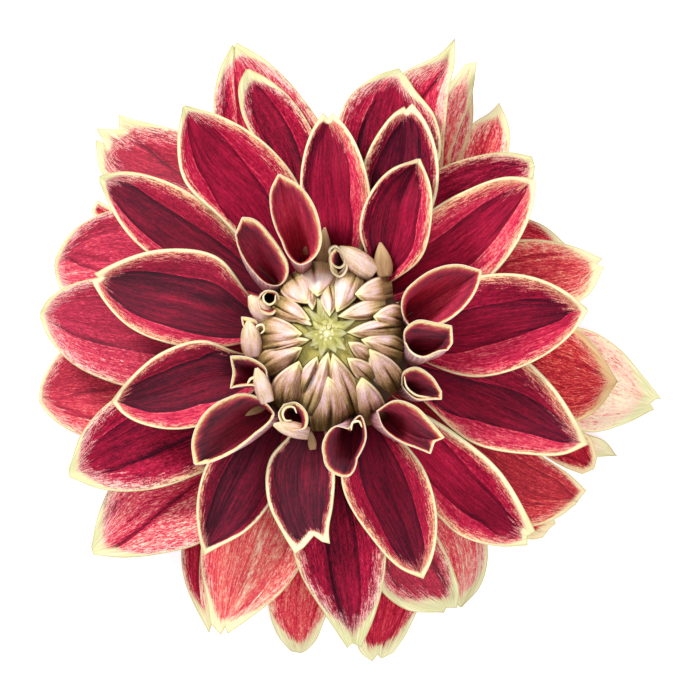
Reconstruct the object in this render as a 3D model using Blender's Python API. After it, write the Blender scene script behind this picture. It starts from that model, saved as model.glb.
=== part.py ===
"""Dahlia bloom: one cut flower head that lies face up on its back petals.

The plan of every petal is drawn on a square sheet in steps of PLAN_STEP, x to the right and y
towards the viewer, with the stem's axis at (AXIS_X, AXIS_Y). Heights are in millimetres above
the underside of the receptacle. Everything is shifted at the end, so that the origin is at the
middle of the bounding box's underside.
"""
import math

import bmesh
import bpy
import numpy as np

# ---- driving dimensions ----------------------------------------------------------------------
MM = 0.001
PLAN_STEP = 0.2            # mm for one step of the plan
AXIS_X, AXIS_Y = 331.0, 337.0
PETAL_THICKNESS = 0.70     # mm
GAP = 0.30                 # mm kept between neighbouring nodes
LAYER_GAP = 1.05           # mm from one petal's middle surface to the next one's
CLEAR_RADIUS = 14.0        # mm from the axis, petals don't touch outside it
HORN_ROOT = (1.2, 9.0)     # mm, radius and height of a rolled petal's root
CORE_RADIUS = 14.0         # mm, receptacle
CORE_BOTTOM = -2.5         # mm
CORE_TOP = 15.0            # mm
REST_HEIGHT = -12.0        # mm, the surface that the bloom lies on
ROOT_RADIUS = 11.0         # mm from the axis to a petal's root
DOME_X, DOME_Y = 332.0, 346.0   # plan middle of the closed centre
DOME_RADIUS = 15.5         # mm
DOME_FOOT = 16.0           # mm, height of the dome's widest level
DOME_TOP = 26.0            # mm
BUD_HEIGHT = 1.5           # mm, a closed bud above its own middle level
APEX_X, APEX_Y = 327.0, 334.0   # plan place of the green tip
APEX_RADIUS = 4.4          # mm
STEM_RADIUS = 2.7          # mm
CALYX_RADIUS = 8.5         # mm
CALYX_TOP = -2.8           # mm
OUTER_BRACTS = 6
INNER_BRACTS = 8
HEIGHT_MAP = 150           # cells of 1 mm along each side of the map that petals are stacked on


# ---- the petals' plan ------------------------------------------------------------------------
class Petal:
    """One ray petal: its two edges from base to tip, the points of its outer end, the heights of
    its edges at base, third, two thirds and tip, and the depth of the cup between them."""

    def __init__(self, name, left, right, ends, heights, cup, wrap=(100, 75, 45), waist=1.0):
        self.name = name
        self.ends = np.array(ends, float)
        self.heights = heights
        self.cup = cup
        self.wrap = wrap
        self.waist = waist
        self.lift = None
        middle = (np.array(left[0], float) + np.array(right[0], float)) / 2
        width, length = np.subtract(right[0], left[0]), self.ends.mean(axis=0) - middle
        if width[0] * length[1] > width[1] * length[0]:
            left, right = right, left
            self.ends = self.ends[::-1]
        ends = self.ends
        axis = np.array((AXIS_X, AXIS_Y))
        outward = (middle - axis) / np.linalg.norm(middle - axis)
        across = np.array((-outward[1], outward[0]))
        half = 5.0
        if np.dot(across, np.array(right[0], float) - np.array(left[0], float)) < 0:
            across = -across
        root = axis + outward * ROOT_RADIUS / PLAN_STEP
        self.left = np.array([root - across * half] + [*left, ends[0]], float)
        self.right = np.array([root + across * half] + [*right, ends[-1]], float)


CUP_OPEN = (0.25, 0.5, 1, 0.75, 0.12)      # share of the cup's depth along a petal
BACK = (0.5, 1.5, -2.5, -8.5)
FOOT = (0.5, 1.5, -3.5, -12.6)
OUTER = (4.0, 6.5, 4.0, -1.0)
MIDDLE = (7.5, 12.0, 12.5, 10.0)
INNER = (10.0, 15.0, 16.5, 14.5)

# From the lowest petal to the highest.
OUTER_PETALS = [
    Petal("D12", [(560, 425), (588, 434), (603, 440)], [(540, 450), (575, 458), (598, 456)],
          [(615, 455)], FOOT, 1.2),
    Petal("D6", [(448, 204), (460, 158), (476, 124), (488, 115)],
          [(468, 220), (495, 175), (506, 146), (505, 120)], [(498, 104)], FOOT, 1.6),
    Petal("D5b", [(448, 150), (459, 120)], [(460, 158), (470, 128), (472, 103)],
          [(471, 84)], BACK, 0.8),
    Petal("D26", [(125, 235), (104, 222), (95, 216)], [(150, 225), (118, 212), (105, 204)],
          [(93, 211), (99, 201)], FOOT, 1.0),
    Petal("D15", [(500, 495), (535, 512), (552, 517)], [(490, 515), (515, 532), (530, 538)],
          [(554, 522), (548, 527), (541, 536)], BACK, 1.0),
    Petal("D9", [(480, 215), (518, 217), (542, 226)], [(470, 250), (520, 262), (555, 262)],
          [(565, 246), (572, 258)], BACK, 1.5),
    Petal("D18", [(285, 540), (268, 590), (270, 613), (279, 635)],
          [(335, 560), (333, 595), (324, 620), (315, 640)],
          [(291, 649), (301, 651), (307, 648)], FOOT, 1.6),
    Petal("D20b", [(200, 480), (182, 545), (184, 575), (196, 606)],
          [(235, 500), (218, 560), (214, 600)], [(210, 631), (213, 622)], BACK, 1.4),
    Petal("D19", [(360, 540), (352, 590), (355, 630), (360, 650)],
          [(420, 560), (424, 590), (414, 615), (403, 636)],
          [(372, 659), (377, 652), (381, 656), (393, 650)], BACK, 1.6),
    Petal("D13", [(515, 412), (562, 424), (588, 436)], [(500, 430), (535, 450), (566, 468)],
          [(595, 456), (592, 468), (580, 473)], BACK, 1.6),
    Petal("D11", [(490, 325), (545, 326), (585, 329), (617, 348), (640, 374)],
          [(500, 392), (550, 416), (588, 432), (622, 424)],
          [(659, 398), (648, 403), (652, 409)], FOOT, 1.8),
    Petal("D27", [(220, 215), (170, 195), (120, 188), (103, 174)],
          [(250, 200), (215, 145), (177, 131), (145, 123)],
          [(97, 141), (106, 145), (98, 130), (121, 131), (120, 116)], BACK, 2.2),
    Petal("D23", [(225, 410), (160, 432), (105, 440), (66, 427), (48, 412)],
          [(225, 360), (160, 340), (100, 340), (62, 352), (47, 373)],
          [(41, 402), (41, 394), (42, 386)], FOOT, 2.2),
    Petal("D25", [(215, 295), (150, 305), (95, 302), (62, 289)],
          [(215, 245), (165, 210), (112, 211), (76, 230), (61, 250)],
          [(57, 275), (56, 266), (57, 259)], FOOT, 2.2),
    Petal("D5", [(420, 190), (441, 140), (442, 105), (453, 82)],
          [(438, 196), (455, 134), (467, 100), (473, 80)], [(464, 66), (476, 64)], BACK, 1.8),
    Petal("D21", [(220, 460), (170, 460), (120, 475), (100, 512)],
          [(240, 490), (205, 540), (165, 552), (120, 556)], [(93, 545), (95, 553)], BACK, 2.2),
    Petal("D14", [(450, 400), (500, 430), (545, 458), (570, 475)],
          [(430, 450), (480, 505), (530, 525), (558, 515)],
          [(584, 489), (576, 499), (573, 503)], OUTER, 1.8),
    Petal("D8", [(440, 270), (490, 245), (535, 240), (572, 247)],
          [(450, 310), (510, 318), (560, 310), (587, 295)],
          [(600, 259), (595, 265), (602, 268)], OUTER, 2.0),
    Petal("D10", [(470, 320), (525, 318), (574, 329), (597, 352)],
          [(470, 385), (520, 412), (565, 424), (592, 412)], [(615, 381)], OUTER, 2.0),
    Petal("D4", [(380, 190), (385, 130), (402, 79), (438, 57)],
          [(435, 190), (441, 130), (446, 92), (454, 60)], [(454, 41)], OUTER, 2.0),
    Petal("D2", [(260, 200), (222, 150), (214, 108), (220, 73)],
          [(312, 190), (326, 140), (301, 97), (262, 59)], [(233, 47), (235, 52), (237, 45)],
          OUTER, 2.6),
    Petal("D7", [(400, 210), (425, 178), (465, 160), (510, 154)],
          [(415, 250), (460, 225), (505, 203), (530, 185)],
          [(530, 158), (533, 168), (532, 178)], OUTER, 2.2),
    Petal("D24", [(225, 385), (165, 392), (112, 382), (70, 360), (48, 332)],
          [(225, 310), (165, 280), (112, 277), (73, 285), (50, 300)],
          [(43, 318), (43, 312)], OUTER, 2.4),
    Petal("D22", [(245, 450), (203, 472), (150, 489), (103, 488)],
          [(225, 380), (165, 378), (113, 400), (83, 434)], [(72, 476), (71, 468)], OUTER, 2.4),
    Petal("D20", [(230, 470), (206, 520), (202, 560), (208, 598)],
          [(310, 480), (312, 540), (288, 584), (252, 615)],
          [(212, 621), (222, 632), (226, 624), (229, 631)], OUTER, 2.2),
    Petal("D16b", [(395, 500), (425, 550), (445, 590)],
          [(430, 480), (478, 515), (487, 552), (478, 586)], [(459, 605), (461, 604)], OUTER, 1.8),
    Petal("D16", [(372, 490), (370, 545), (380, 588), (405, 607)],
          [(410, 490), (437, 535), (450, 562), (458, 588)],
          [(443, 610), (445, 605), (456, 605)], OUTER, 2.2),
    Petal("D17", [(300, 470), (290, 525), (299, 568), (325, 612)],
          [(365, 470), (384, 520), (384, 575), (373, 617)],
          [(347, 645), (352, 640), (361, 644)], OUTER, 2.8),
    Petal("D3", [(362, 200), (336, 150), (348, 100), (376, 78)],
          [(415, 200), (440, 155), (434, 118), (414, 92)], [(398, 71), (406, 80)], OUTER, 2.6),
    Petal("D1", [(285, 220), (262, 155), (241, 110), (240, 86)],
          [(316, 210), (320, 155), (296, 106), (268, 81)], [(247, 72), (251, 72)], OUTER, 2.6),
]
INNER_PETALS = [
    Petal("C5", [(455, 345), (510, 350), (548, 381), (574, 418)],
          [(428, 408), (475, 444), (525, 454), (565, 454)], [(588, 444)], MIDDLE, 3.4),
    Petal("C3", [(385, 250), (410, 226), (463, 192), (508, 177)],
          [(430, 300), (480, 285), (516, 245), (533, 205)], [(530, 178), (536, 181)], MIDDLE, 3.4),
    Petal("C12", [(230, 290), (170, 268), (128, 234), (107, 200)],
          [(240, 236), (203, 202), (160, 179), (122, 172)], [(100, 183), (100, 176)], MIDDLE, 3.2),
    Petal("C9", [(232, 430), (207, 464), (197, 505), (200, 540)],
          [(290, 440), (278, 490), (245, 532), (218, 547)], [(204, 555)], MIDDLE, 3.4),
    Petal("C2", [(362, 225), (362, 170), (379, 132), (396, 112)],
          [(420, 235), (438, 185), (436, 150), (423, 118)], [(404, 107), (406, 110), (412, 104)],
          MIDDLE, 3.6),
    Petal("C6", [(395, 395), (450, 429), (500, 471), (526, 513)],
          [(385, 440), (425, 500), (460, 535), (500, 546)],
          [(535, 531), (527, 536), (527, 545)], MIDDLE, 3.6),
    Petal("C11", [(242, 346), (180, 346), (127, 325), (98, 291)],
          [(252, 295), (220, 258), (160, 250), (112, 265)], [(92, 280), (99, 278), (95, 274)],
          INNER, 3.8),
    Petal("C13", [(262, 262), (222, 220), (183, 178), (178, 140)],
          [(305, 245), (303, 195), (270, 148), (219, 116)], [(183, 108), (186, 106)], INNER, 3.6),
    Petal("C4", [(425, 300), (470, 278), (528, 276), (566, 292)],
          [(425, 365), (470, 377), (528, 364), (572, 333)], [(586, 308), (587, 312)], INNER, 3.8),
    Petal("C7", [(345, 430), (342, 485), (371, 537), (402, 569)],
          [(400, 435), (427, 475), (437, 525), (431, 561)], [(423, 578)], INNER, 3.8),
    Petal("C8", [(290, 433), (270, 458), (268, 500), (283, 533)],
          [(328, 432), (335, 475), (333, 505), (329, 532)],
          [(295, 553), (304, 547), (314, 535), (322, 541), (330, 543)], INNER, 3.6),
    Petal("C10", [(240, 405), (200, 426), (160, 428), (124, 414)],
          [(240, 351), (205, 340), (163, 352), (128, 381)], [(112, 401)], INNER, 3.8),
    Petal("C1", [(316, 255), (303, 215), (302, 165), (313, 129)],
          [(362, 250), (371, 205), (364, 165), (347, 129)],
          [(323, 113), (328, 119), (333, 113)], INNER, 3.8),
]
CUPPED_PETALS = [
    Petal("B14", [(366, 262), (359, 232), (368, 197), (391, 170)],
          [(393, 283), (419, 262), (431, 222), (430, 186)], [(416, 160), (420, 160)],
          (7.0, 18.0, 22.0, 22.0), 5.0, wrap=(100, 85, 55)),
]


class Horn:
    """One rolled ray petal, a horn: its rim runs from the base point along both sides to the
    outer end, at the heights of base, middle and outer end. Its wall bulges by belly, in plan
    steps, and hangs down by sag, a share of the horn's height."""

    def __init__(self, name, base, left, right, ends, heights, belly, sag=0.4):
        self.name = name
        self.left = np.array([base, *left, ends[0]], float)
        self.right = np.array([base, *right, ends[-1]], float)
        self.ends = np.array(ends, float)
        self.heights = heights
        self.belly = np.array(belly, float)
        self.sag = sag
        self.lift = 0.0
        axis = np.array((AXIS_X, AXIS_Y))
        outward = np.array(base, float) - axis
        self.root = axis + outward / np.linalg.norm(outward) * ROOT_RADIUS / PLAN_STEP


HORNS = [
    Horn("B13", (303, 265), [(283, 243), (271, 208), (271, 193)],
         [(319, 252), (320, 225), (300, 187)], [(279, 175)], (18.0, 20.0, 21.0), (-6, 4), 0.55),
    Horn("B12", (282, 284), [(265, 281), (248, 265), (238, 245)],
         [(287, 270), (271, 236), (252, 219)], [(236, 235), (243, 218)], (17.0, 21.0, 23.0),
         (-14, 14)),
    Horn("B11", (406, 322), [(401, 303), (425, 274), (456, 265)],
         [(437, 325), (461, 310), (476, 289)], [(481, 271)], (18.0, 20.5, 22.0), (2, 2), 0.45),
    Horn("B10", (274, 412), [(250, 439), (225, 456), (205, 463)],
         [(240, 395), (207, 411), (193, 440)], [(195, 464)], (17.5, 20.0, 21.0), (4, 22), 0.45),
    Horn("B7", (377, 410), [(395, 400), (415, 406), (431, 422)],
         [(383, 427), (402, 442), (418, 448)], [(444, 437), (434, 441), (430, 453)],
         (18.0, 20.0, 21.0), (-12, 18)),
    Horn("B6", (348, 428), [(335, 426), (323, 442), (330, 468)],
         [(360, 415), (366, 434), (354, 463)], [(345, 477)], (19.0, 20.0, 19.5), (18, 8)),
    Horn("B9", (404, 342), [(404, 331), (415, 321), (436, 323)],
         [(409, 350), (422, 357), (440, 351)], [(451, 326), (452, 343), (447, 350)],
         (20.0, 23.0, 24.0), (4, 26)),
    Horn("B8", (401, 384), [(403, 372), (414, 367), (431, 376)],
         [(405, 390), (416, 399), (432, 399)], [(441, 391), (441, 399)], (20.0, 22.5, 23.5),
         (4, 18)),
    Horn("B5", (284, 404), [(279, 413), (283, 424)], [(296, 402), (308, 416), (306, 427)],
         [(294, 430)], (20.0, 21.5, 21.0), (-2, 20)),
    Horn("B4", (266, 389), [(258, 386), (240, 386)], [(266, 368), (254, 359), (241, 356)],
         [(231, 388), (234, 372), (231, 356)], (20.0, 22.0, 21.5), (4, 12)),
    Horn("B3", (259, 329), [(251, 332), (244, 326)], [(257, 321), (250, 318)], [(242, 317)],
         (21.0, 22.5, 22.5), (-2, 34)),
    Horn("B2", (281, 303), [(272, 315), (262, 312)], [(277, 293), (266, 291)], [(258, 300)],
         (21.0, 22.5, 22.5), (-12, -6)),
    Horn("B1", (337, 276), [(331, 268), (330, 255)], [(345, 266), (342, 254)], [(335, 249)],
         (21.0, 22.5, 22.5), (24, -2)),
]

for outer_petal in OUTER_PETALS:
    outer_petal.waist = 0.35
for inner_petal in INNER_PETALS:
    inner_petal.waist = 0.5

# Closed buds of the centre, from the innermost to the outermost: tip, base, half width.
BUDS = [
    ((313, 326), (293, 314), 4), ((313, 311), (312, 288), 5), ((330, 317), (328, 284), 8),
    ((311, 340), (264, 349), 7), ((348, 342), (372, 360), 7), ((347, 358), (373, 379), 8),
    ((318, 356), (304, 392), 8), ((338, 317), (386, 306), 8), ((361, 340), (403, 352), 10),
    ((311, 321), (274, 304), 9), ((337, 313), (353, 270), 11), ((347, 333), (400, 329), 9),
    ((303, 334), (258, 331), 13), ((303, 348), (262, 370), 12), ((333, 353), (353, 413), 12),
    ((329, 352), (308, 414), 11), ((309, 304), (291, 275), 13), ((318, 297), (318, 262), 15),
    ((355, 295), (392, 291), 12), ((373, 317), (404, 321), 11), ((369, 349), (396, 391), 12),
    ((300, 361), (286, 409), 15), ((362, 377), (371, 424), 14), ((328, 376), (330, 430), 17),
]


# Green florets of the very centre: outer ends, round it.
APEX_FLORETS = [(318, 297), (325, 307), (337, 310), (355, 320), (347, 333), (346, 350), (336, 353),
                (321, 357), (310, 346), (304, 336), (302, 321), (309, 309)]


# ---- curves and surfaces ---------------------------------------------------------------------
def smooth_through(knots, values, at):
    """Values at the places `at` of the smooth curve through `values` at `knots`."""
    knots = np.asarray(knots, float)
    values = np.asarray(values, float)
    flat = values.ndim == 1
    if flat:
        values = values[:, None]
    step = np.diff(knots)[:, None]
    slope = np.diff(values, axis=0) / step
    tangent = np.vstack([slope[:1], slope[:1], slope[1:]])[:len(values)]
    tangent[1:-1] = (slope[:-1] * step[1:] + slope[1:] * step[:-1]) / (step[:-1] + step[1:])
    tangent[-1] = slope[-1]
    index = np.clip(np.searchsorted(knots, at, side="right") - 1, 0, len(step) - 1)
    width = step[index]
    s = (np.asarray(at)[:, None] - knots[index][:, None]) / width
    result = ((2 * s**3 - 3 * s**2 + 1) * values[index]
              + (s**3 - 2 * s**2 + s) * width * tangent[index]
              + (3 * s**2 - 2 * s**3) * values[index + 1]
              + (s**3 - s**2) * width * tangent[index + 1])
    return result[:, 0] if flat else result


def path(points, at):
    """Places along the smooth path through plan points, spaced by length, in mm off the axis."""
    length = np.concatenate([[0], np.cumsum(np.linalg.norm(np.diff(points, axis=0), axis=1))])
    places = smooth_through(length / length[-1], points, at)
    return (places - (AXIS_X, AXIS_Y)) * (PLAN_STEP, -PLAN_STEP)


def unit(vectors):
    """The same vectors, each of length one."""
    return vectors / np.maximum(np.linalg.norm(vectors, axis=-1, keepdims=True), 1e-9)


def petal_surface(petal, u, v):
    """Middle surface of a petal in mm: rows from base (u=0) to tip (1), columns from -1 to 1."""
    left = path(petal.left, u)
    right = path(petal.right, u)
    narrow = np.clip(1 - u / 0.45, 0, 1)
    narrow = narrow**2 * (3 - 2 * narrow) * (1 - petal.waist) / 2
    shift = narrow[:, None] * (right - left)
    left = left + shift
    right = right - shift
    height = smooth_through((0, 1 / 3, 2 / 3, 1), petal.heights, u)
    if petal.lift is not None:
        height = height + np.interp(u, np.linspace(0, 1, len(petal.lift)), petal.lift)
    left = np.column_stack([left, height])
    right = np.column_stack([right, height])
    middle = (left + right) / 2
    across = right - left
    half = np.maximum(np.linalg.norm(across, axis=1) / 2, 0.55 * np.clip((1 - u) * 8, 0, 1))
    along = unit(np.gradient(middle, axis=0))
    sideways = unit(across + 0.4 * np.column_stack([along[:, 1], -along[:, 0], 0 * u]))
    normal = unit(np.cross(sideways, along))
    angle = np.radians(smooth_through((0, 0.5, 1), petal.wrap, u))
    radius = half / np.sin(angle)
    depth = petal.cup * smooth_through((0, 0.2, 0.5, 0.8, 1), CUP_OPEN, u)
    turn = v[None, :] * angle[:, None]
    sideways_part = radius[:, None] * np.sin(turn)
    sink = depth[:, None] * (1 - (1 - np.cos(turn)) / (1 - np.cos(angle))[:, None])
    surface = (middle[:, None, :] + sideways_part[..., None] * sideways[:, None, :]
               - sink[..., None] * normal[:, None, :])
    return surface + end_teeth(petal, surface[-1], u, v)


def horn_surface(horn, u, v):
    """Middle surface of a rolled petal in mm: rows from root (u=0) to rim (1), columns round the
    rim from its base point (v=-1) over the outer end (0) back to the base point (1)."""
    share = np.abs(v)
    end_share = 0.12 if len(horn.ends) > 1 else 0.0
    along = np.clip((1 - share) / (1 - end_share), 0, 1)
    sides = np.where((v < 0)[:, None], path(horn.left, along), path(horn.right, along))
    ends = (horn.ends - (AXIS_X, AXIS_Y)) * (PLAN_STEP, -PLAN_STEP)
    if end_share:
        places = np.linspace(-end_share, end_share, len(ends))
        edge = np.column_stack([np.interp(v, places, ends[:, 0]), np.interp(v, places, ends[:, 1])])
        sides = np.where((share < end_share)[:, None], edge, sides)
    rim = np.column_stack([sides, smooth_through((0, 0.5, 1), horn.heights, 1 - share)])
    rim[:, 2] += horn.lift
    root = (horn.root - (AXIS_X, AXIS_Y)) * (PLAN_STEP, -PLAN_STEP)
    spread = unit(sides - sides.mean(axis=0)) * HORN_ROOT[0]
    foot = np.column_stack([root + spread, np.full(len(v), HORN_ROOT[1])])
    bulge = rim * 0.72 + foot * 0.28
    bulge[:, :2] += horn.belly * (PLAN_STEP, -PLAN_STEP)
    bulge[:, 2] = HORN_ROOT[1] + horn.sag * (rim[:, 2] - HORN_ROOT[1])
    w = (1 - u)[:, None, None]
    return (1 - w)**2 * rim + 2 * w * (1 - w) * bulge + w**2 * foot


def end_teeth(petal, last_row, u, v):
    """Shift that turns the straight outer end into the petal's own tips and notches."""
    ends = (petal.ends - (AXIS_X, AXIS_Y)) * (PLAN_STEP, -PLAN_STEP)
    places = np.linspace(-1, 1, len(ends)) if len(ends) > 1 else np.zeros(1)
    wanted = np.column_stack([np.interp(v, places, ends[:, 0]), np.interp(v, places, ends[:, 1])])
    shift = np.column_stack([wanted - last_row[:, :2], 0 * v])
    share = np.clip((u - 0.8) / 0.2, 0, 1) ** 1.5
    return share[:, None, None] * shift[None]


def surface_normals(surface):
    """Upward normals of a grid of points, taken from the row before where a row is one point."""
    along = np.gradient(surface, axis=0)
    across = np.gradient(surface, axis=1)
    normals = np.cross(across, along)
    size = np.linalg.norm(normals, axis=2, keepdims=True)
    normals = unit(normals)
    small = size[..., 0] < 1e-4
    for row, column in zip(*np.nonzero(small)):
        normals[row, column] = unit(normals[row - 1].mean(axis=0))
    return normals


def raster(surface, tops=None):
    """Cells of the height map under a surface; with `tops`, its heights are entered there."""
    half = HEIGHT_MAP // 2
    index = np.clip(np.round(surface[..., :2]).astype(int) + half, 0, HEIGHT_MAP - 1)
    if tops is not None:
        np.maximum.at(tops, (index[..., 1], index[..., 0]), surface[..., 2])
    return index[..., 1], index[..., 0]


def settle():
    """Lifts each petal, in turn, until it clears the petals that lie below it."""
    tops = np.full((HEIGHT_MAP, HEIGHT_MAP), -1e3)
    fine_u, fine_v = np.linspace(0, 1, 70), np.linspace(-1, 1, 41)
    for petal in OUTER_PETALS + INNER_PETALS + CUPPED_PETALS:
        surface = petal_surface(petal, np.linspace(0, 1, 25), np.linspace(-1, 1, 15))
        need = tops[raster(surface)] + LAYER_GAP - surface[..., 2]
        need[np.hypot(surface[..., 0], surface[..., 1]) < CLEAR_RADIUS] = 0
        need = np.maximum(need.max(axis=1), 0)
        wide = np.array([need[max(0, k - 3):k + 4].max() for k in range(len(need))])
        padded = np.pad(wide, 4, mode="edge")
        petal.lift = np.convolve(padded, np.hanning(9) / np.hanning(9).sum(), mode="same")[4:-4]
        raster(petal_surface(petal, fine_u, fine_v), tops)
    for horn in HORNS:
        for _ in range(2):
            surface = horn_surface(horn, fine_u, fine_v)
            need = tops[raster(surface)] + LAYER_GAP - surface[..., 2]
            need[np.hypot(surface[..., 0], surface[..., 1]) < CLEAR_RADIUS + 2] = 0
            horn.lift += max(need.max(), 0)


# ---- solids ----------------------------------------------------------------------------------
def new_object(name, vertices, faces):
    """An object from vertices in mm and faces, with points that coincide joined."""
    mesh = bpy.data.meshes.new(name)
    mesh.from_pydata([tuple(MM * float(c) for c in vertex) for vertex in vertices], [], faces)
    work = bmesh.new()
    work.from_mesh(mesh)
    bmesh.ops.remove_doubles(work, verts=work.verts, dist=2e-6)
    bmesh.ops.recalc_face_normals(work, faces=work.faces)
    work.to_mesh(mesh)
    work.free()
    item = bpy.data.objects.new(name, mesh)
    bpy.context.scene.collection.objects.link(item)
    return item


def blade(name, surface, thickness):
    """A closed thin solid round a grid of points, both faces split into triangles alike."""
    rows, columns = surface.shape[:2]
    normals = surface_normals(surface)
    upper = (surface + normals * thickness / 2).reshape(-1, 3)
    lower = (surface - normals * thickness / 2).reshape(-1, 3)
    count = rows * columns
    faces = []
    for row in range(rows - 1):
        for column in range(columns - 1):
            a = row * columns + column
            b, c, d = a + 1, a + columns + 1, a + columns
            split = [(a, b, c), (a, c, d)] if column < columns // 2 else [(a, b, d), (b, c, d)]
            for triangle in split:
                faces.append(triangle)
                faces.append(tuple(count + k for k in reversed(triangle)))
    border = [k for k in range(columns)]
    border += [row * columns + columns - 1 for row in range(1, rows)]
    border += [(rows - 1) * columns + k for k in range(columns - 2, -1, -1)]
    border += [row * columns for row in range(rows - 2, 0, -1)]
    for a, b in zip(border, border[1:] + border[:1]):
        faces.append((b, a, count + a))
        faces.append((b, count + a, count + b))
    return new_object(name, np.vstack([upper, lower]), faces)


def tube(name, surface, thickness, filled=False):
    """A closed thin solid round a grid of points whose last column repeats the first; filled, it
    is the whole body inside its outer face."""
    surface = surface[:, :-1]
    rows, columns = surface.shape[:2]
    along = np.gradient(surface, axis=0)
    across = np.roll(surface, -1, axis=1) - np.roll(surface, 1, axis=1)
    normals = unit(np.cross(across, along))
    if np.sum(normals * (surface - surface.mean(axis=1, keepdims=True))) < 0:
        normals = -normals
    outer = (surface + normals * thickness / 2).reshape(-1, 3)
    inner = (surface - normals * thickness / 2).reshape(-1, 3)
    count = rows * columns
    faces = []
    if filled:
        inner = np.array([outer[:columns].mean(axis=0), outer[-columns:].mean(axis=0)])
    for column in range(columns):
        near = (column + 1) % columns
        for row in range(rows - 1):
            a, b = row * columns + column, row * columns + near
            c, d = b + columns, a + columns
            for triangle in ((a, b, c), (a, c, d)):
                faces.append(triangle)
                if not filled:
                    faces.append(tuple(count + k for k in reversed(triangle)))
        last = (rows - 1) * columns
        if filled:
            faces.append((near, column, count))
            faces.append((last + column, last + near, count + 1))
            continue
        faces.append((near, column, count + column, count + near))
        faces.append((last + column, last + near, count + last + near, count + last + column))
    return new_object(name, np.vstack([outer, inner]), faces)


def turned(name, profile, centre=(0.0, 0.0), sides=16):
    """A solid turned from (radius, height) pairs, bottom to top, with poles at both ends."""
    vertices = [(centre[0], centre[1], profile[0][1])]
    for radius, height in profile:
        for k in range(sides):
            angle = 2 * math.pi * k / sides
            vertices.append((centre[0] + radius * math.cos(angle),
                             centre[1] + radius * math.sin(angle), height))
    vertices.append((centre[0], centre[1], profile[-1][1]))
    last = len(vertices) - 1
    faces = []
    for k in range(sides):
        n = (k + 1) % sides
        faces.append((0, 1 + n, 1 + k))
        for ring in range(len(profile) - 1):
            a, b = 1 + ring * sides + k, 1 + ring * sides + n
            faces.append((a, b, b + sides, a + sides))
        top = 1 + (len(profile) - 1) * sides
        faces.append((last, top + k, top + n))
    return new_object(name, vertices, faces)


def boolean(item, operation, other, solver="EXACT"):
    """Applies one Boolean between an object and another object or a collection."""
    modifier = item.modifiers.new("join", "BOOLEAN")
    modifier.operation = operation
    modifier.solver = solver
    if isinstance(other, bpy.types.Collection):
        modifier.operand_type = "COLLECTION"
        modifier.collection = other
    else:
        modifier.object = other
    evaluated = item.evaluated_get(bpy.context.evaluated_depsgraph_get())
    mesh = bpy.data.meshes.new_from_object(evaluated)
    item.modifiers.clear()
    item.data = mesh


def fuse(base, pieces, solver="EXACT"):
    """Joins the pieces to the base by one Boolean union on a collection, and removes them."""
    group = bpy.data.collections.new(base.name + "_pieces")
    bpy.context.scene.collection.children.link(group)
    for piece in pieces:
        bpy.context.scene.collection.objects.unlink(piece)
        group.objects.link(piece)
    boolean(base, "UNION", group, solver)
    for piece in pieces:
        bpy.data.objects.remove(piece)
    bpy.data.collections.remove(group)


def cut_away(base, cutters):
    """Takes the cutters' space away from the base by one Boolean, and removes them."""
    group = bpy.data.collections.new(base.name + "_cutters")
    bpy.context.scene.collection.children.link(group)
    for cutter in cutters:
        bpy.context.scene.collection.objects.unlink(cutter)
        group.objects.link(cutter)
    boolean(base, "DIFFERENCE", group, "MANIFOLD")
    for cutter in cutters:
        bpy.data.objects.remove(cutter)
    bpy.data.collections.remove(group)


def keep_largest(item):
    """Drops loose scraps: keeps the connected part of the mesh with the most faces."""
    work = bmesh.new()
    work.from_mesh(item.data)
    left = set(work.faces)
    groups = []
    while left:
        stack = [left.pop()]
        group = list(stack)
        while stack:
            face = stack.pop()
            for edge in face.edges:
                for near in edge.link_faces:
                    if near in left:
                        left.remove(near)
                        stack.append(near)
                        group.append(near)
        groups.append(group)
    groups.sort(key=len, reverse=True)
    scraps = [face for group in groups[1:] for face in group]
    bmesh.ops.delete(work, geom=scraps, context="FACES")
    bmesh.ops.triangulate(work, faces=work.faces)
    work.to_mesh(item.data)
    work.free()
    print(item.name, "faces", len(item.data.polygons), "scraps", [len(g) for g in groups[1:]])


def cut_below(item, height):
    """Cuts off what lies below a level, which leaves small flat spots to rest on."""
    reach = 90.0
    deep = 30.0
    corners = [(x, y, z) for z in (height - deep, height)
               for x, y in ((-reach, -reach), (reach, -reach), (reach, reach), (-reach, reach))]
    sides = [(3, 2, 1, 0), (4, 5, 6, 7), (0, 1, 5, 4), (1, 2, 6, 5), (2, 3, 7, 6), (3, 0, 4, 7)]
    block = new_object("block", corners, sides)
    boolean(item, "DIFFERENCE", block, "MANIFOLD")
    bpy.data.objects.remove(block)


# ---- the flower's nodes ----------------------------------------------------------------------
ROWS = {"outer": (0, 0.28, 0.52, 0.74, 0.9, 1), "inner": (0, 0.2, 0.4, 0.6, 0.78, 0.92, 1),
        "horn": (0, 0.35, 0.7, 1)}
COLUMNS = {"outer": (-1, -0.5, 0, 0.5, 1), "inner": (-1, -0.55, 0, 0.55, 1),
           "horn": (-1, -0.8, -0.6, -0.4, -0.2, 0, 0.2, 0.4, 0.6, 0.8, 1)}


def petal_solids(kind, petals, thickness, clearing=False):
    """The closed solids of one kind of petals; to clear space for them, horns are filled and
    blades are a little wider."""
    u = np.array(ROWS[kind], float)
    v = np.array(COLUMNS[kind], float)
    if kind == "horn":
        return [tube(horn.name, horn_surface(horn, u, v), thickness, clearing) for horn in petals]
    if clearing:
        v = v * 1.2
    return [blade(petal.name, petal_surface(petal, u, v), thickness) for petal in petals]


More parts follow.
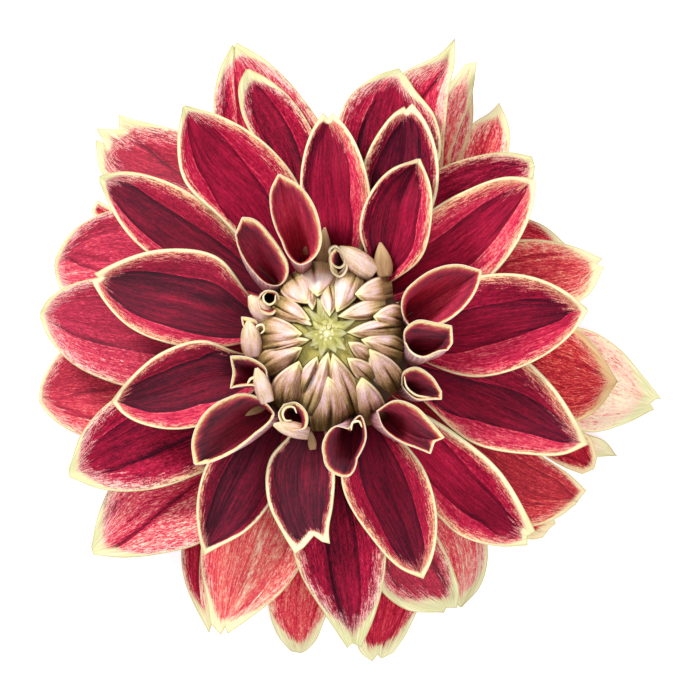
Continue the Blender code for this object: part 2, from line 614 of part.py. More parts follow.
def receptacle(name, extra=0.0):
    """The fleshy base that the petals grow from."""
    profile = [(3.0, CORE_BOTTOM - extra), (8.0 + extra, CORE_BOTTOM - extra),
               (CORE_RADIUS + extra, 2.0), (CORE_RADIUS + extra, 9.0),
               (10.0 + extra, 12.5 + extra), (5.0 + extra, CORE_TOP + extra)]
    return turned(name, profile)


def build_rays():
    """All ray petals that are open or rolled, on their receptacle."""
    rays = receptacle("ray_florets")
    pieces = petal_solids("outer", OUTER_PETALS, PETAL_THICKNESS)
    pieces += petal_solids("inner", INNER_PETALS + CUPPED_PETALS, PETAL_THICKNESS)
    pieces += petal_solids("horn", HORNS, PETAL_THICKNESS)
    fuse(rays, pieces, "MANIFOLD")
    cut_below(rays, REST_HEIGHT)
    keep_largest(rays)
    return rays


def plan_mm(point):
    """Place of a plan point in mm off the axis."""
    return (np.array(point, float) - (AXIS_X, AXIS_Y)) * (PLAN_STEP, -PLAN_STEP)


def dome_height(place):
    """Height in mm of the closed centre's dome over a place in mm."""
    reach = np.linalg.norm(place - plan_mm((DOME_X, DOME_Y))) / DOME_RADIUS
    if reach > 0.97:
        return DOME_FOOT + 0.24 * (DOME_TOP - DOME_FOOT) - 25 * (reach - 0.97)
    return DOME_FOOT + (DOME_TOP - DOME_FOOT) * math.sqrt(1 - reach**2)


def bud_solid(name, tip, base, half_width):
    """One closed bud, a pointed scale: its base lies in the dome and its tip rises over the bud
    further in."""
    start, end = plan_mm(base), plan_mm(tip)
    side = unit(end - start)[[1, 0]] * (1, -1)
    half = half_width * PLAN_STEP
    vertices, faces = [], []
    rows = (0, 0.25, 0.6, 0.85, 1)
    widths = (0.5, 1, 0.85, 0.42, 0.1)
    tops = (0.4, 1, 0.9, 0.6, 0.25)
    section = ((-1, 0), (-0.6, 0.8), (0, 1), (0.6, 0.8), (1, 0), (0, -1.2))
    for row, width, top in zip(rows, widths, tops):
        place = start + (end - start) * row
        level = dome_height(place) - 0.3 + 1.3 * row
        for across, up in section:
            spot = place + side * across * half * width
            drop = 0.35 * half * width * across**2
            vertices.append((*spot, level - drop + up * top * BUD_HEIGHT))
    sides = len(section)
    for row in range(len(rows) - 1):
        for k in range(sides):
            a, b = row * sides + k, row * sides + (k + 1) % sides
            faces += [(a, b, b + sides), (a, b + sides, a + sides)]
    last = (len(rows) - 1) * sides
    for k in range(1, sides - 1):
        faces += [(0, k + 1, k), (last, last + k, last + k + 1)]
    return new_object(name, vertices, faces)


def dome_solid(name):
    """The closed centre's dome without its buds."""
    centre = plan_mm((DOME_X, DOME_Y))
    profile = [(4.5, CORE_TOP + 0.5), (10.4, 13.0), (13.5, 10.5), (DOME_RADIUS - 0.4, 13.0),
               (DOME_RADIUS, DOME_FOOT + 1.2)]
    for reach in (0.97, 0.85, 0.65, 0.4):
        profile.append((reach * DOME_RADIUS,
                        DOME_FOOT + (DOME_TOP - DOME_FOOT) * math.sqrt(1 - reach**2)))
    return turned(name, profile, centre)


def apex_solid(name, extra=0.0):
    """The green tip: a button with pointed florets that lie outward on it."""
    centre = plan_mm((APEX_X, APEX_Y))
    low, high = DOME_TOP - 4.0 - extra, DOME_TOP + 0.2 + extra
    reach = APEX_RADIUS + extra
    button = turned(name, [(reach - 1.2, low), (reach, low + 1.2), (reach, high - 1.2),
                           (0.75 * reach, high - 0.35), (0.4 * reach, high)], centre, 12)
    return button


def build_centre():
    """The closed buds on their dome, cleared of the ray petals, the receptacle and the tip."""
    centre = dome_solid("central_florets")
    buds = [bud_solid("bud", *bud) for bud in BUDS]
    fuse(centre, buds)
    wide = PETAL_THICKNESS + 2 * GAP
    cutters = petal_solids("horn", HORNS, wide, clearing=True)
    cutters += petal_solids("inner", INNER_PETALS + CUPPED_PETALS, wide, clearing=True)
    cutters.append(receptacle("clearance", GAP))
    cutters.append(apex_solid("clearance", GAP))
    cut_away(centre, cutters)
    keep_largest(centre)
    return centre


def build_apex():
    """The green tip with its tiny pointed florets."""
    apex = apex_solid("apex_florets")
    middle = plan_mm((APEX_X, APEX_Y))
    spikes = []
    for place in APEX_FLORETS:
        outward = plan_mm(place) - middle
        outward = outward / np.linalg.norm(outward) * min(np.linalg.norm(outward), APEX_RADIUS - 0.1)
        side = unit(outward)[[1, 0]] * (-1, 1) * 0.8
        root = middle + outward * 0.25
        level = DOME_TOP - 0.1
        vertices = [(*(root + side), level - 0.5), (*(root - side), level - 0.5),
                    (*(middle + outward), level), (*(root + outward * 0.2), level + 0.5),
                    (*(root + outward * 0.2), level - 1.5)]
        spikes.append(new_object("spike", vertices, [(0, 1, 4), (1, 0, 3), (0, 2, 3), (1, 3, 2),
                                                     (0, 4, 2), (1, 2, 4)]))
    fuse(apex, spikes)
    keep_largest(apex)
    return apex


def bract_surface(angle, reach, half, heights, start):
    """Middle surface in mm of one bract that grows outward at an angle."""
    u = np.linspace(0, 1, 5)
    v = np.linspace(-1, 1, 3)
    widths = half * smooth_through((0, 0.3, 0.7, 1), (0.7, 0.6, 1, 0.15), u)
    radius = start + (reach - start) * u
    height = smooth_through((0, 0.4, 1), heights, u)
    across = v[None, :] * widths[:, None]
    x = radius[:, None] * math.cos(angle) - across * math.sin(angle)
    y = radius[:, None] * math.sin(angle) + across * math.cos(angle)
    z = height[:, None] + 0.12 * across**2 / half
    return np.stack([x, y, z], axis=-1)


def build_base():
    """The cut stem, the calyx that holds the receptacle, and its two rings of bracts."""
    profile = [(STEM_RADIUS - 0.4, REST_HEIGHT), (STEM_RADIUS, REST_HEIGHT + 0.4),
               (STEM_RADIUS, -8.5), (4.5, -6.6), (CALYX_RADIUS, -4.6), (CALYX_RADIUS, CALYX_TOP)]
    base = turned("green_base", profile)
    pieces = []
    for k in range(OUTER_BRACTS):
        angle = 2 * math.pi * (k + 0.25) / OUTER_BRACTS
        surface = bract_surface(angle, 21.0, 3.6, (-5.3, -7.4, -10.6), 4.0)
        pieces.append(blade("bract", surface, 0.9))
    for k in range(INNER_BRACTS):
        angle = 2 * math.pi * k / INNER_BRACTS
        surface = bract_surface(angle, 17.5, 4.2, (-3.6, -3.8, -3.6), 6.0)
        pieces.append(blade("bract", surface, 0.6))
    fuse(base, pieces)
    keep_largest(base)
    return base


def finish(nodes):
    """Gives each node its material, shades it smooth and puts the origin under the bloom."""
    colours = {"ray_florets": (0.42, 0.02, 0.06), "central_florets": (0.66, 0.47, 0.47),
               "apex_florets": (0.36, 0.37, 0.12), "green_base": (0.16, 0.27, 0.08)}
    points = np.array([vertex.co for node in nodes for vertex in node.data.vertices])
    low, high = points.min(axis=0), points.max(axis=0)
    shift = np.array([(low[0] + high[0]) / 2, (low[1] + high[1]) / 2, low[2]])
    for node in nodes:
        for vertex in node.data.vertices:
            vertex.co = tuple(float(c) for c in np.array(vertex.co) - shift)
        material = bpy.data.materials.new(node.name)
        material.use_nodes = True
        shader = material.node_tree.nodes["Principled BSDF"]
        shader.inputs["Base Color"].default_value = (*colours[node.name], 1)
        shader.inputs["Roughness"].default_value = 0.6
        node.data.materials.clear()
        node.data.materials.append(material)
        node.data.shade_smooth()
    print("shift in mm", shift / MM, "size in mm", (high - low) / MM)


def main():
    """Builds the bloom."""
    for item in list(bpy.data.objects):
        bpy.data.objects.remove(item)
    settle()
    finish([build_rays(), build_centre(), build_apex(), build_base()])


main()
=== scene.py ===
"""Looks of the dahlia bloom: fine petals, buds, green tip and bracts, their materials, and the
plain scene. The petals' plan and the curves through it are the same as in the CAD model."""
import math

import bpy
import numpy as np
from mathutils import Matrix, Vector


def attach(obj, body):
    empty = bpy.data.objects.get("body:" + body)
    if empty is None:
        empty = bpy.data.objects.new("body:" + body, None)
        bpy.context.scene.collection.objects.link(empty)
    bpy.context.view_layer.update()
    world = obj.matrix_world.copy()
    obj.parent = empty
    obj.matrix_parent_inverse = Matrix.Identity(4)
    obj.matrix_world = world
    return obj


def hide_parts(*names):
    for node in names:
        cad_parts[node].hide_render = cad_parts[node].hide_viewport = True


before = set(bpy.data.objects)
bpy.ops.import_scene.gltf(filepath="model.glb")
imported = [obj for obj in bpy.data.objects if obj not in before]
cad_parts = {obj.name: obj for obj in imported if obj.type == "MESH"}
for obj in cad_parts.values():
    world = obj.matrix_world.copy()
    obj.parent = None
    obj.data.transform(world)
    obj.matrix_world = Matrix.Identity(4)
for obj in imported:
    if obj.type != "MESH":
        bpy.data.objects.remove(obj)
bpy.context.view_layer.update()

# ---- driving dimensions, in mm, as in the CAD model ------------------------------------------
MM = 0.001
PLAN_STEP = 0.2            # for one step of the plan
AXIS_X, AXIS_Y = 331.0, 337.0
LAYER_GAP = 1.05           # from one petal's middle surface to the next one's
CLEAR_RADIUS = 14.0        # petals don't touch outside it
HORN_ROOT_RADIUS = 1.2     # of a rolled petal
HORN_ROOT_HEIGHT = 9.0
HORN_BULGE = 0.28          # share of its root in a rolled petal's bulge, the rest is of its rim
HORN_END_SHARE = 0.12      # share of the rim that a straight outer end takes, on either side
CORE_RADIUS = 14.0         # receptacle
CORE_BOTTOM = -2.5
CORE_TOP = 15.0
REST_HEIGHT = -12.0        # the surface that the bloom lies on
ROOT_RADIUS = 11.0         # from the axis to a petal's root
ROOT_HALF_STEPS = 5.0      # half width of a petal's root, in steps of the plan
LEAST_HALF = 0.55          # of a petal's row, except close to its tip
WAIST_END = 0.45           # share of a petal's length that its narrow waist takes
ROW_TURN = 0.4             # how far a petal's rows turn square to its length
TEETH_START = 0.8          # share of a petal's length at which its tips and notches start
DOME_X, DOME_Y = 332.0, 346.0
DOME_RADIUS = 15.5
DOME_FOOT = 16.0
DOME_TOP = 26.0
APEX_X, APEX_Y = 327.0, 334.0
APEX_RADIUS = 4.4
STEM_RADIUS = 2.7
CALYX_RADIUS = 8.5
CALYX_TOP = -2.8
OUTER_BRACTS = 6
INNER_BRACTS = 8
HEIGHT_MAP = 150           # cells of 1 mm along each side of the map that petals are stacked on
NOTHING_BELOW = -1e3       # height of the map's empty cells
STACK_GRID = (70, 41)      # rows and columns of a petal that is entered in the map
PROBE_GRID = (25, 15)      # and of one that is held against it
LIFT_ROWS = 3              # rows on either side that are lifted along with one
LIFT_WINDOW = 9            # rows over which the lift is evened out
HORN_CLEARING = 2.0        # by which rolled petals may touch farther out than the others
ORIGIN = np.array((3.8168, -2.4972, -12.0))   # the row frame's origin in the plan's frame

BLADE = 0.38               # thickness of a fine petal
FLOOR_SLOPE = 0.22         # how flat a petal's floor is, against its sides beyond the folds
FOLD_SHARPNESS = 0.07      # share of the half width over which the slope changes at a fold
LIP_START = 0.80           # share of the half width at which a petal's lip starts to turn out
LIP_FLATNESS = 0.85
DEFAULT_FOLD = 0.62        # place of a fold across a petal, where none is given

# ---- the petals' plan ------------------------------------------------------------------------
class Petal:
    """One ray petal: its two edges from base to tip, the points of its outer end, the heights of
    its edges at base, third, two thirds and tip, and the depth of the cup between them."""

    def __init__(self, name, left, right, ends, heights, cup, wrap=(100, 75, 45)):
        self.name = name
        self.ends = np.array(ends, float)
        self.heights = heights
        self.cup = cup
        self.wrap = wrap
        self.waist = 1.0
        self.lift = None
        middle = (np.array(left[0], float) + np.array(right[0], float)) / 2
        width, length = np.subtract(right[0], left[0]), self.ends.mean(axis=0) - middle
        if width[0] * length[1] > width[1] * length[0]:
            left, right = right, left
            self.ends = self.ends[::-1]
        ends = self.ends
        axis = np.array((AXIS_X, AXIS_Y))
        outward = (middle - axis) / np.linalg.norm(middle - axis)
        across = np.array((-outward[1], outward[0]))
        if np.dot(across, np.array(right[0], float) - np.array(left[0], float)) < 0:
            across = -across
        root = axis + outward * ROOT_RADIUS / PLAN_STEP
        self.left = np.array([root - across * ROOT_HALF_STEPS] + [*left, ends[0]], float)
        self.right = np.array([root + across * ROOT_HALF_STEPS] + [*right, ends[-1]], float)


CUP_OPEN = (0.25, 0.5, 1, 0.75, 0.12)      # share of the cup's depth along a petal
BACK = (0.5, 1.5, -2.5, -8.5)
FOOT = (0.5, 1.5, -3.5, -12.6)
OUTER = (4.0, 6.5, 4.0, -1.0)
MIDDLE = (7.5, 12.0, 12.5, 10.0)
INNER = (10.0, 15.0, 16.5, 14.5)

# From the lowest petal to the highest.
OUTER_PETALS = [
    Petal("D12", [(560, 425), (588, 434), (603, 440)], [(540, 450), (575, 458), (598, 456)],
          [(615, 455)], FOOT, 1.2),
    Petal("D6", [(448, 204), (460, 158), (476, 124), (488, 115)],
          [(468, 220), (495, 175), (506, 146), (505, 120)], [(498, 104)], FOOT, 1.6),
    Petal("D5b", [(448, 150), (459, 120)], [(460, 158), (470, 128), (472, 103)],
          [(471, 84)], BACK, 0.8),
    Petal("D26", [(125, 235), (104, 222), (95, 216)], [(150, 225), (118, 212), (105, 204)],
          [(93, 211), (99, 201)], FOOT, 1.0),
    Petal("D15", [(500, 495), (535, 512), (552, 517)], [(490, 515), (515, 532), (530, 538)],
          [(554, 522), (548, 527), (541, 536)], BACK, 1.0),
    Petal("D9", [(480, 215), (518, 217), (542, 226)], [(470, 250), (520, 262), (555, 262)],
          [(565, 246), (572, 258)], BACK, 1.5),
    Petal("D18", [(285, 540), (268, 590), (270, 613), (279, 635)],
          [(335, 560), (333, 595), (324, 620), (315, 640)],
          [(291, 649), (301, 651), (307, 648)], FOOT, 1.6),
    Petal("D20b", [(200, 480), (182, 545), (184, 575), (196, 606)],
          [(235, 500), (218, 560), (214, 600)], [(210, 631), (213, 622)], BACK, 1.4),
    Petal("D19", [(360, 540), (352, 590), (355, 630), (360, 650)],
          [(420, 560), (424, 590), (414, 615), (403, 636)],
          [(372, 659), (377, 652), (381, 656), (393, 650)], BACK, 1.6),
    Petal("D13", [(515, 412), (562, 424), (588, 436)], [(500, 430), (535, 450), (566, 468)],
          [(595, 456), (592, 468), (580, 473)], BACK, 1.6),
    Petal("D11", [(490, 325), (545, 326), (585, 329), (617, 348), (640, 374)],
          [(500, 392), (550, 416), (588, 432), (622, 424)],
          [(659, 398), (648, 403), (652, 409)], FOOT, 1.8),
    Petal("D27", [(220, 215), (170, 195), (120, 188), (103, 174)],
          [(250, 200), (215, 145), (177, 131), (145, 123)],
          [(97, 141), (106, 145), (98, 130), (121, 131), (120, 116)], BACK, 2.2),
    Petal("D23", [(225, 410), (160, 432), (105, 440), (66, 427), (48, 412)],
          [(225, 360), (160, 340), (100, 340), (62, 352), (47, 373)],
          [(41, 402), (41, 394), (42, 386)], FOOT, 2.2),
    Petal("D25", [(215, 295), (150, 305), (95, 302), (62, 289)],
          [(215, 245), (165, 210), (112, 211), (76, 230), (61, 250)],
          [(57, 275), (56, 266), (57, 259)], FOOT, 2.2),
    Petal("D5", [(420, 190), (441, 140), (442, 105), (453, 82)],
          [(438, 196), (455, 134), (467, 100), (473, 80)], [(464, 66), (476, 64)], BACK, 1.8),
    Petal("D21", [(220, 460), (170, 460), (120, 475), (100, 512)],
          [(240, 490), (205, 540), (165, 552), (120, 556)], [(93, 545), (95, 553)], BACK, 2.2),
    Petal("D14", [(450, 400), (500, 430), (545, 458), (570, 475)],
          [(430, 450), (480, 505), (530, 525), (558, 515)],
          [(584, 489), (576, 499), (573, 503)], OUTER, 1.8),
    Petal("D8", [(440, 270), (490, 245), (535, 240), (572, 247)],
          [(450, 310), (510, 318), (560, 310), (587, 295)],
          [(600, 259), (595, 265), (602, 268)], OUTER, 2.0),
    Petal("D10", [(470, 320), (525, 318), (574, 329), (597, 352)],
          [(470, 385), (520, 412), (565, 424), (592, 412)], [(615, 381)], OUTER, 2.0),
    Petal("D4", [(380, 190), (385, 130), (402, 79), (438, 57)],
          [(435, 190), (441, 130), (446, 92), (454, 60)], [(454, 41)], OUTER, 2.0),
    Petal("D2", [(260, 200), (222, 150), (214, 108), (220, 73)],
          [(312, 190), (326, 140), (301, 97), (262, 59)], [(233, 47), (235, 52), (237, 45)],
          OUTER, 2.6),
    Petal("D7", [(400, 210), (425, 178), (465, 160), (510, 154)],
          [(415, 250), (460, 225), (505, 203), (530, 185)],
          [(530, 158), (533, 168), (532, 178)], OUTER, 2.2),
    Petal("D24", [(225, 385), (165, 392), (112, 382), (70, 360), (48, 332)],
          [(225, 310), (165, 280), (112, 277), (73, 285), (50, 300)],
          [(43, 318), (43, 312)], OUTER, 2.4),
    Petal("D22", [(245, 450), (203, 472), (150, 489), (103, 488)],
          [(225, 380), (165, 378), (113, 400), (83, 434)], [(72, 476), (71, 468)], OUTER, 2.4),
    Petal("D20", [(230, 470), (206, 520), (202, 560), (208, 598)],
          [(310, 480), (312, 540), (288, 584), (252, 615)],
          [(212, 621), (222, 632), (226, 624), (229, 631)], OUTER, 2.2),
    Petal("D16b", [(395, 500), (425, 550), (445, 590)],
          [(430, 480), (478, 515), (487, 552), (478, 586)], [(459, 605), (461, 604)], OUTER, 1.8),
    Petal("D16", [(372, 490), (370, 545), (380, 588), (405, 607)],
          [(410, 490), (437, 535), (450, 562), (458, 588)],
          [(443, 610), (445, 605), (456, 605)], OUTER, 2.2),
    Petal("D17", [(300, 470), (290, 525), (299, 568), (325, 612)],
          [(365, 470), (384, 520), (384, 575), (373, 617)],
          [(347, 645), (352, 640), (361, 644)], OUTER, 2.8),
    Petal("D3", [(362, 200), (336, 150), (348, 100), (376, 78)],
          [(415, 200), (440, 155), (434, 118), (414, 92)], [(398, 71), (406, 80)], OUTER, 2.6),
    Petal("D1", [(285, 220), (262, 155), (241, 110), (240, 86)],
          [(316, 210), (320, 155), (296, 106), (268, 81)], [(247, 72), (251, 72)], OUTER, 2.6),
]
INNER_PETALS = [
    Petal("C5", [(455, 345), (510, 350), (548, 381), (574, 418)],
          [(428, 408), (475, 444), (525, 454), (565, 454)], [(588, 444)], MIDDLE, 3.4),
    Petal("C3", [(385, 250), (410, 226), (463, 192), (508, 177)],
          [(430, 300), (480, 285), (516, 245), (533, 205)], [(530, 178), (536, 181)], MIDDLE, 3.4),
    Petal("C12", [(230, 290), (170, 268), (128, 234), (107, 200)],
          [(240, 236), (203, 202), (160, 179), (122, 172)], [(100, 183), (100, 176)], MIDDLE, 3.2),
    Petal("C9", [(232, 430), (207, 464), (197, 505), (200, 540)],
          [(290, 440), (278, 490), (245, 532), (218, 547)], [(204, 555)], MIDDLE, 3.4),
    Petal("C2", [(362, 225), (362, 170), (379, 132), (396, 112)],
          [(420, 235), (438, 185), (436, 150), (423, 118)], [(404, 107), (406, 110), (412, 104)],
          MIDDLE, 3.6),
    Petal("C6", [(395, 395), (450, 429), (500, 471), (526, 513)],
          [(385, 440), (425, 500), (460, 535), (500, 546)],
          [(535, 531), (527, 536), (527, 545)], MIDDLE, 3.6),
    Petal("C11", [(242, 346), (180, 346), (127, 325), (98, 291)],
          [(252, 295), (220, 258), (160, 250), (112, 265)], [(92, 280), (99, 278), (95, 274)],
          INNER, 3.8),
    Petal("C13", [(262, 262), (222, 220), (183, 178), (178, 140)],
          [(305, 245), (303, 195), (270, 148), (219, 116)], [(183, 108), (186, 106)], INNER, 3.6),
    Petal("C4", [(425, 300), (470, 278), (528, 276), (566, 292)],
          [(425, 365), (470, 377), (528, 364), (572, 333)], [(586, 308), (587, 312)], INNER, 3.8),
    Petal("C7", [(345, 430), (342, 485), (371, 537), (402, 569)],
          [(400, 435), (427, 475), (437, 525), (431, 561)], [(423, 578)], INNER, 3.8),
    Petal("C8", [(290, 433), (270, 458), (268, 500), (283, 533)],
          [(328, 432), (335, 475), (333, 505), (329, 532)],
          [(295, 553), (304, 547), (314, 535), (322, 541), (330, 543)], INNER, 3.6),
    Petal("C10", [(240, 405), (200, 426), (160, 428), (124, 414)],
          [(240, 351), (205, 340), (163, 352), (128, 381)], [(112, 401)], INNER, 3.8),
    Petal("C1", [(316, 255), (303, 215), (302, 165), (313, 129)],
          [(362, 250), (371, 205), (364, 165), (347, 129)],
          [(323, 113), (328, 119), (333, 113)], INNER, 3.8),
]
CUPPED_PETALS = [
    Petal("B14", [(366, 262), (359, 232), (368, 197), (391, 170)],
          [(393, 283), (419, 262), (431, 222), (430, 186)], [(416, 160), (420, 160)],
          (7.0, 18.0, 22.0, 22.0), 5.0, wrap=(100, 85, 55)),
]


class Horn:
    """One rolled ray petal, a horn: its rim runs from the base point along both sides to the
    outer end, at the heights of base, middle and outer end. Its wall bulges by belly, in plan
    steps, and hangs down by sag, a share of the horn's height."""

    def __init__(self, name, base, left, right, ends, heights, belly, sag=0.4):
        self.name = name
        self.left = np.array([base, *left, ends[0]], float)
        self.right = np.array([base, *right, ends[-1]], float)
        self.ends = np.array(ends, float)
        self.heights = heights
        self.belly = np.array(belly, float)
        self.sag = sag
        self.lift = 0.0
        axis = np.array((AXIS_X, AXIS_Y))
        outward = np.array(base, float) - axis
        self.root = axis + outward / np.linalg.norm(outward) * ROOT_RADIUS / PLAN_STEP


HORNS = [
    Horn("B13", (303, 265), [(283, 243), (271, 208), (271, 193)],
         [(319, 252), (320, 225), (300, 187)], [(279, 175)], (18.0, 20.0, 21.0), (-6, 4), 0.55),
    Horn("B12", (282, 284), [(265, 281), (248, 265), (238, 245)],
         [(287, 270), (271, 236), (252, 219)], [(236, 235), (243, 218)], (17.0, 21.0, 23.0),
         (-14, 14)),
    Horn("B11", (406, 322), [(401, 303), (425, 274), (456, 265)],
         [(437, 325), (461, 310), (476, 289)], [(481, 271)], (18.0, 20.5, 22.0), (2, 2), 0.45),
    Horn("B10", (274, 412), [(250, 439), (225, 456), (205, 463)],
         [(240, 395), (207, 411), (193, 440)], [(195, 464)], (17.5, 20.0, 21.0), (4, 22), 0.45),
    Horn("B7", (377, 410), [(395, 400), (415, 406), (431, 422)],
         [(383, 427), (402, 442), (418, 448)], [(444, 437), (434, 441), (430, 453)],
         (18.0, 20.0, 21.0), (-12, 18)),
    Horn("B6", (348, 428), [(335, 426), (323, 442), (330, 468)],
         [(360, 415), (366, 434), (354, 463)], [(345, 477)], (19.0, 20.0, 19.5), (18, 8)),
    Horn("B9", (404, 342), [(404, 331), (415, 321), (436, 323)],
         [(409, 350), (422, 357), (440, 351)], [(451, 326), (452, 343), (447, 350)],
         (20.0, 23.0, 24.0), (4, 26)),
    Horn("B8", (401, 384), [(403, 372), (414, 367), (431, 376)],
         [(405, 390), (416, 399), (432, 399)], [(441, 391), (441, 399)], (20.0, 22.5, 23.5),
         (4, 18)),
    Horn("B5", (284, 404), [(279, 413), (283, 424)], [(296, 402), (308, 416), (306, 427)],
         [(294, 430)], (20.0, 21.5, 21.0), (-2, 20)),
    Horn("B4", (266, 389), [(258, 386), (240, 386)], [(266, 368), (254, 359), (241, 356)],
         [(231, 388), (234, 372), (231, 356)], (20.0, 22.0, 21.5), (4, 12)),
    Horn("B3", (259, 329), [(251, 332), (244, 326)], [(257, 321), (250, 318)], [(242, 317)],
         (21.0, 22.5, 22.5), (-2, 34)),
    Horn("B2", (281, 303), [(272, 315), (262, 312)], [(277, 293), (266, 291)], [(258, 300)],
         (21.0, 22.5, 22.5), (-12, -6)),
    Horn("B1", (337, 276), [(331, 268), (330, 255)], [(345, 266), (342, 254)], [(335, 249)],
         (21.0, 22.5, 22.5), (24, -2)),
]

# Width at the root over the plan's width, of the layers that narrow towards it.
for members, waist in ((OUTER_PETALS, 0.35), (INNER_PETALS, 0.5)):
    for member in members:
        member.waist = waist

# Closed buds of the centre, from the innermost to the outermost: tip, base, half width.
BUDS = [
    ((313, 326), (293, 314), 4), ((313, 311), (312, 288), 5), ((330, 317), (328, 284), 8),
    ((311, 340), (264, 349), 7), ((348, 342), (372, 360), 7), ((347, 358), (373, 379), 8),
    ((318, 356), (304, 392), 8), ((338, 317), (386, 306), 8), ((361, 340), (403, 352), 10),
    ((311, 321), (274, 304), 9), ((337, 313), (353, 270), 11), ((347, 333), (400, 329), 9),
    ((303, 334), (258, 331), 13), ((303, 348), (262, 370), 12), ((333, 353), (353, 413), 12),
    ((329, 352), (308, 414), 11), ((309, 304), (291, 275), 13), ((318, 297), (318, 262), 15),
    ((355, 295), (392, 291), 12), ((373, 317), (404, 321), 11), ((369, 349), (396, 391), 12),
    ((300, 361), (286, 409), 15), ((362, 377), (371, 424), 14), ((328, 376), (330, 430), 17),
]


# Green florets of the very centre: outer ends, round it.
APEX_FLORETS = [(318, 297), (325, 307), (337, 310), (355, 320), (347, 333), (346, 350), (336, 353),
                (321, 357), (310, 346), (304, 336), (302, 321), (309, 309)]


# ---- curves and surfaces ---------------------------------------------------------------------
def smooth_through(knots, values, at):
    """Values at the places `at` of the smooth curve through `values` at `knots`."""
    knots = np.asarray(knots, float)
    values = np.asarray(values, float)
    flat = values.ndim == 1
    if flat:
        values = values[:, None]
    step = np.diff(knots)[:, None]
    slope = np.diff(values, axis=0) / step
    tangent = np.vstack([slope[:1], slope[:1], slope[1:]])[:len(values)]
    tangent[1:-1] = (slope[:-1] * step[1:] + slope[1:] * step[:-1]) / (step[:-1] + step[1:])
    tangent[-1] = slope[-1]
    index = np.clip(np.searchsorted(knots, at, side="right") - 1, 0, len(step) - 1)
    width = step[index]
    s = (np.asarray(at)[:, None] - knots[index][:, None]) / width
    result = ((2 * s**3 - 3 * s**2 + 1) * values[index]
              + (s**3 - 2 * s**2 + s) * width * tangent[index]
              + (3 * s**2 - 2 * s**3) * values[index + 1]
              + (s**3 - s**2) * width * tangent[index + 1])
    return result[:, 0] if flat else result


def plan_mm(point):
    """Place of a plan point, or of several, in mm off the axis."""
    return (np.array(point, float) - (AXIS_X, AXIS_Y)) * (PLAN_STEP, -PLAN_STEP)


def path(points, at):
    """Places along the smooth path through plan points, spaced by length, in mm off the axis."""
    length = np.concatenate([[0], np.cumsum(np.linalg.norm(np.diff(points, axis=0), axis=1))])
    return plan_mm(smooth_through(length / length[-1], points, at))


def unit(vectors):
    """The same vectors, each of length one."""
    return vectors / np.maximum(np.linalg.norm(vectors, axis=-1, keepdims=True), 1e-9)


def petal_frame(petal, u, waist):
    """Of a petal's rows: middle points, directions across, normals, half widths and depths."""
    left = path(petal.left, u)
    right = path(petal.right, u)
    narrow = np.clip(1 - u / WAIST_END, 0, 1)
    narrow = narrow**2 * (3 - 2 * narrow) * (1 - waist) / 2
    shift = narrow[:, None] * (right - left)
    left = left + shift
    right = right - shift
    height = smooth_through((0, 1 / 3, 2 / 3, 1), petal.heights, u)
    if petal.lift is not None:
        height = height + np.interp(u, np.linspace(0, 1, len(petal.lift)), petal.lift)
    left = np.column_stack([left, height])
    right = np.column_stack([right, height])
    middle = (left + right) / 2
    across = right - left
    half = np.maximum(np.linalg.norm(across, axis=1) / 2,
                      LEAST_HALF * np.clip((1 - u) * 8, 0, 1))
    along = unit(np.gradient(middle, axis=0))
    sideways = unit(across + ROW_TURN * np.column_stack([along[:, 1], -along[:, 0], 0 * u]))
    normal = unit(np.cross(sideways, along))
    depth = petal.cup * smooth_through((0, 0.2, 0.5, 0.8, 1), CUP_OPEN, u)
    return middle, sideways, normal, half, depth


def petal_surface(petal, u, v):
    """Middle surface of a petal in mm, as in the CAD model: rows from base (u=0) to tip (1),
    columns from -1 to 1."""
    middle, sideways, normal, half, depth = petal_frame(petal, u, petal.waist)
    angle = np.radians(smooth_through((0, 0.5, 1), petal.wrap, u))
    radius = half / np.sin(angle)
    turn = v[None, :] * angle[:, None]
    sideways_part = radius[:, None] * np.sin(turn)
    sink = depth[:, None] * (1 - (1 - np.cos(turn)) / (1 - np.cos(angle))[:, None])
    surface = (middle[:, None, :] + sideways_part[..., None] * sideways[:, None, :]
               - sink[..., None] * normal[:, None, :])
    return surface + end_teeth(petal, surface[-1], u, v)


def fine_surface(petal, u, v, waist, folds):
    """The same petal with a flat floor between its two folds, steep sides beyond them, and a lip
    that turns outward; folds gives, for both sides, the place of the fold in each row."""
    middle, sideways, normal, half, depth = petal_frame(petal, u, waist)
    share = np.linspace(0, 1, 81)
    rise = np.zeros((len(u), len(v)))
    for side, fold in zip((-1, 1), folds):
        near = np.clip(np.abs(fold), 0.15, 0.85)[:, None]
        slope = FLOOR_SLOPE + (1 - FLOOR_SLOPE) * step_up(near - FOLD_SHARPNESS,
                                                          near + FOLD_SHARPNESS, share[None])
        slope = slope * (1 - LIP_FLATNESS * step_up(LIP_START, 1.0, share[None]))
        total = np.cumsum(slope, axis=1)
        total = (total - total[:, :1]) / (total[:, -1:] - total[:, :1])
        chosen = v * side >= 0
        for row in range(len(u)):
            rise[row, chosen] = np.interp(np.abs(v[chosen]), share, total[row])
    surface = (middle[:, None, :] + (v[None, :] * half[:, None])[..., None] * sideways[:, None, :]
               - (depth[:, None] * (1 - rise))[..., None] * normal[:, None, :])
    return surface + end_teeth(petal, surface[-1], u, v)


def step_up(low, high, value):
    """Smooth step from 0 at low to 1 at high."""
    share = np.clip((value - low) / (high - low), 0, 1)
    return share * share * (3 - 2 * share)


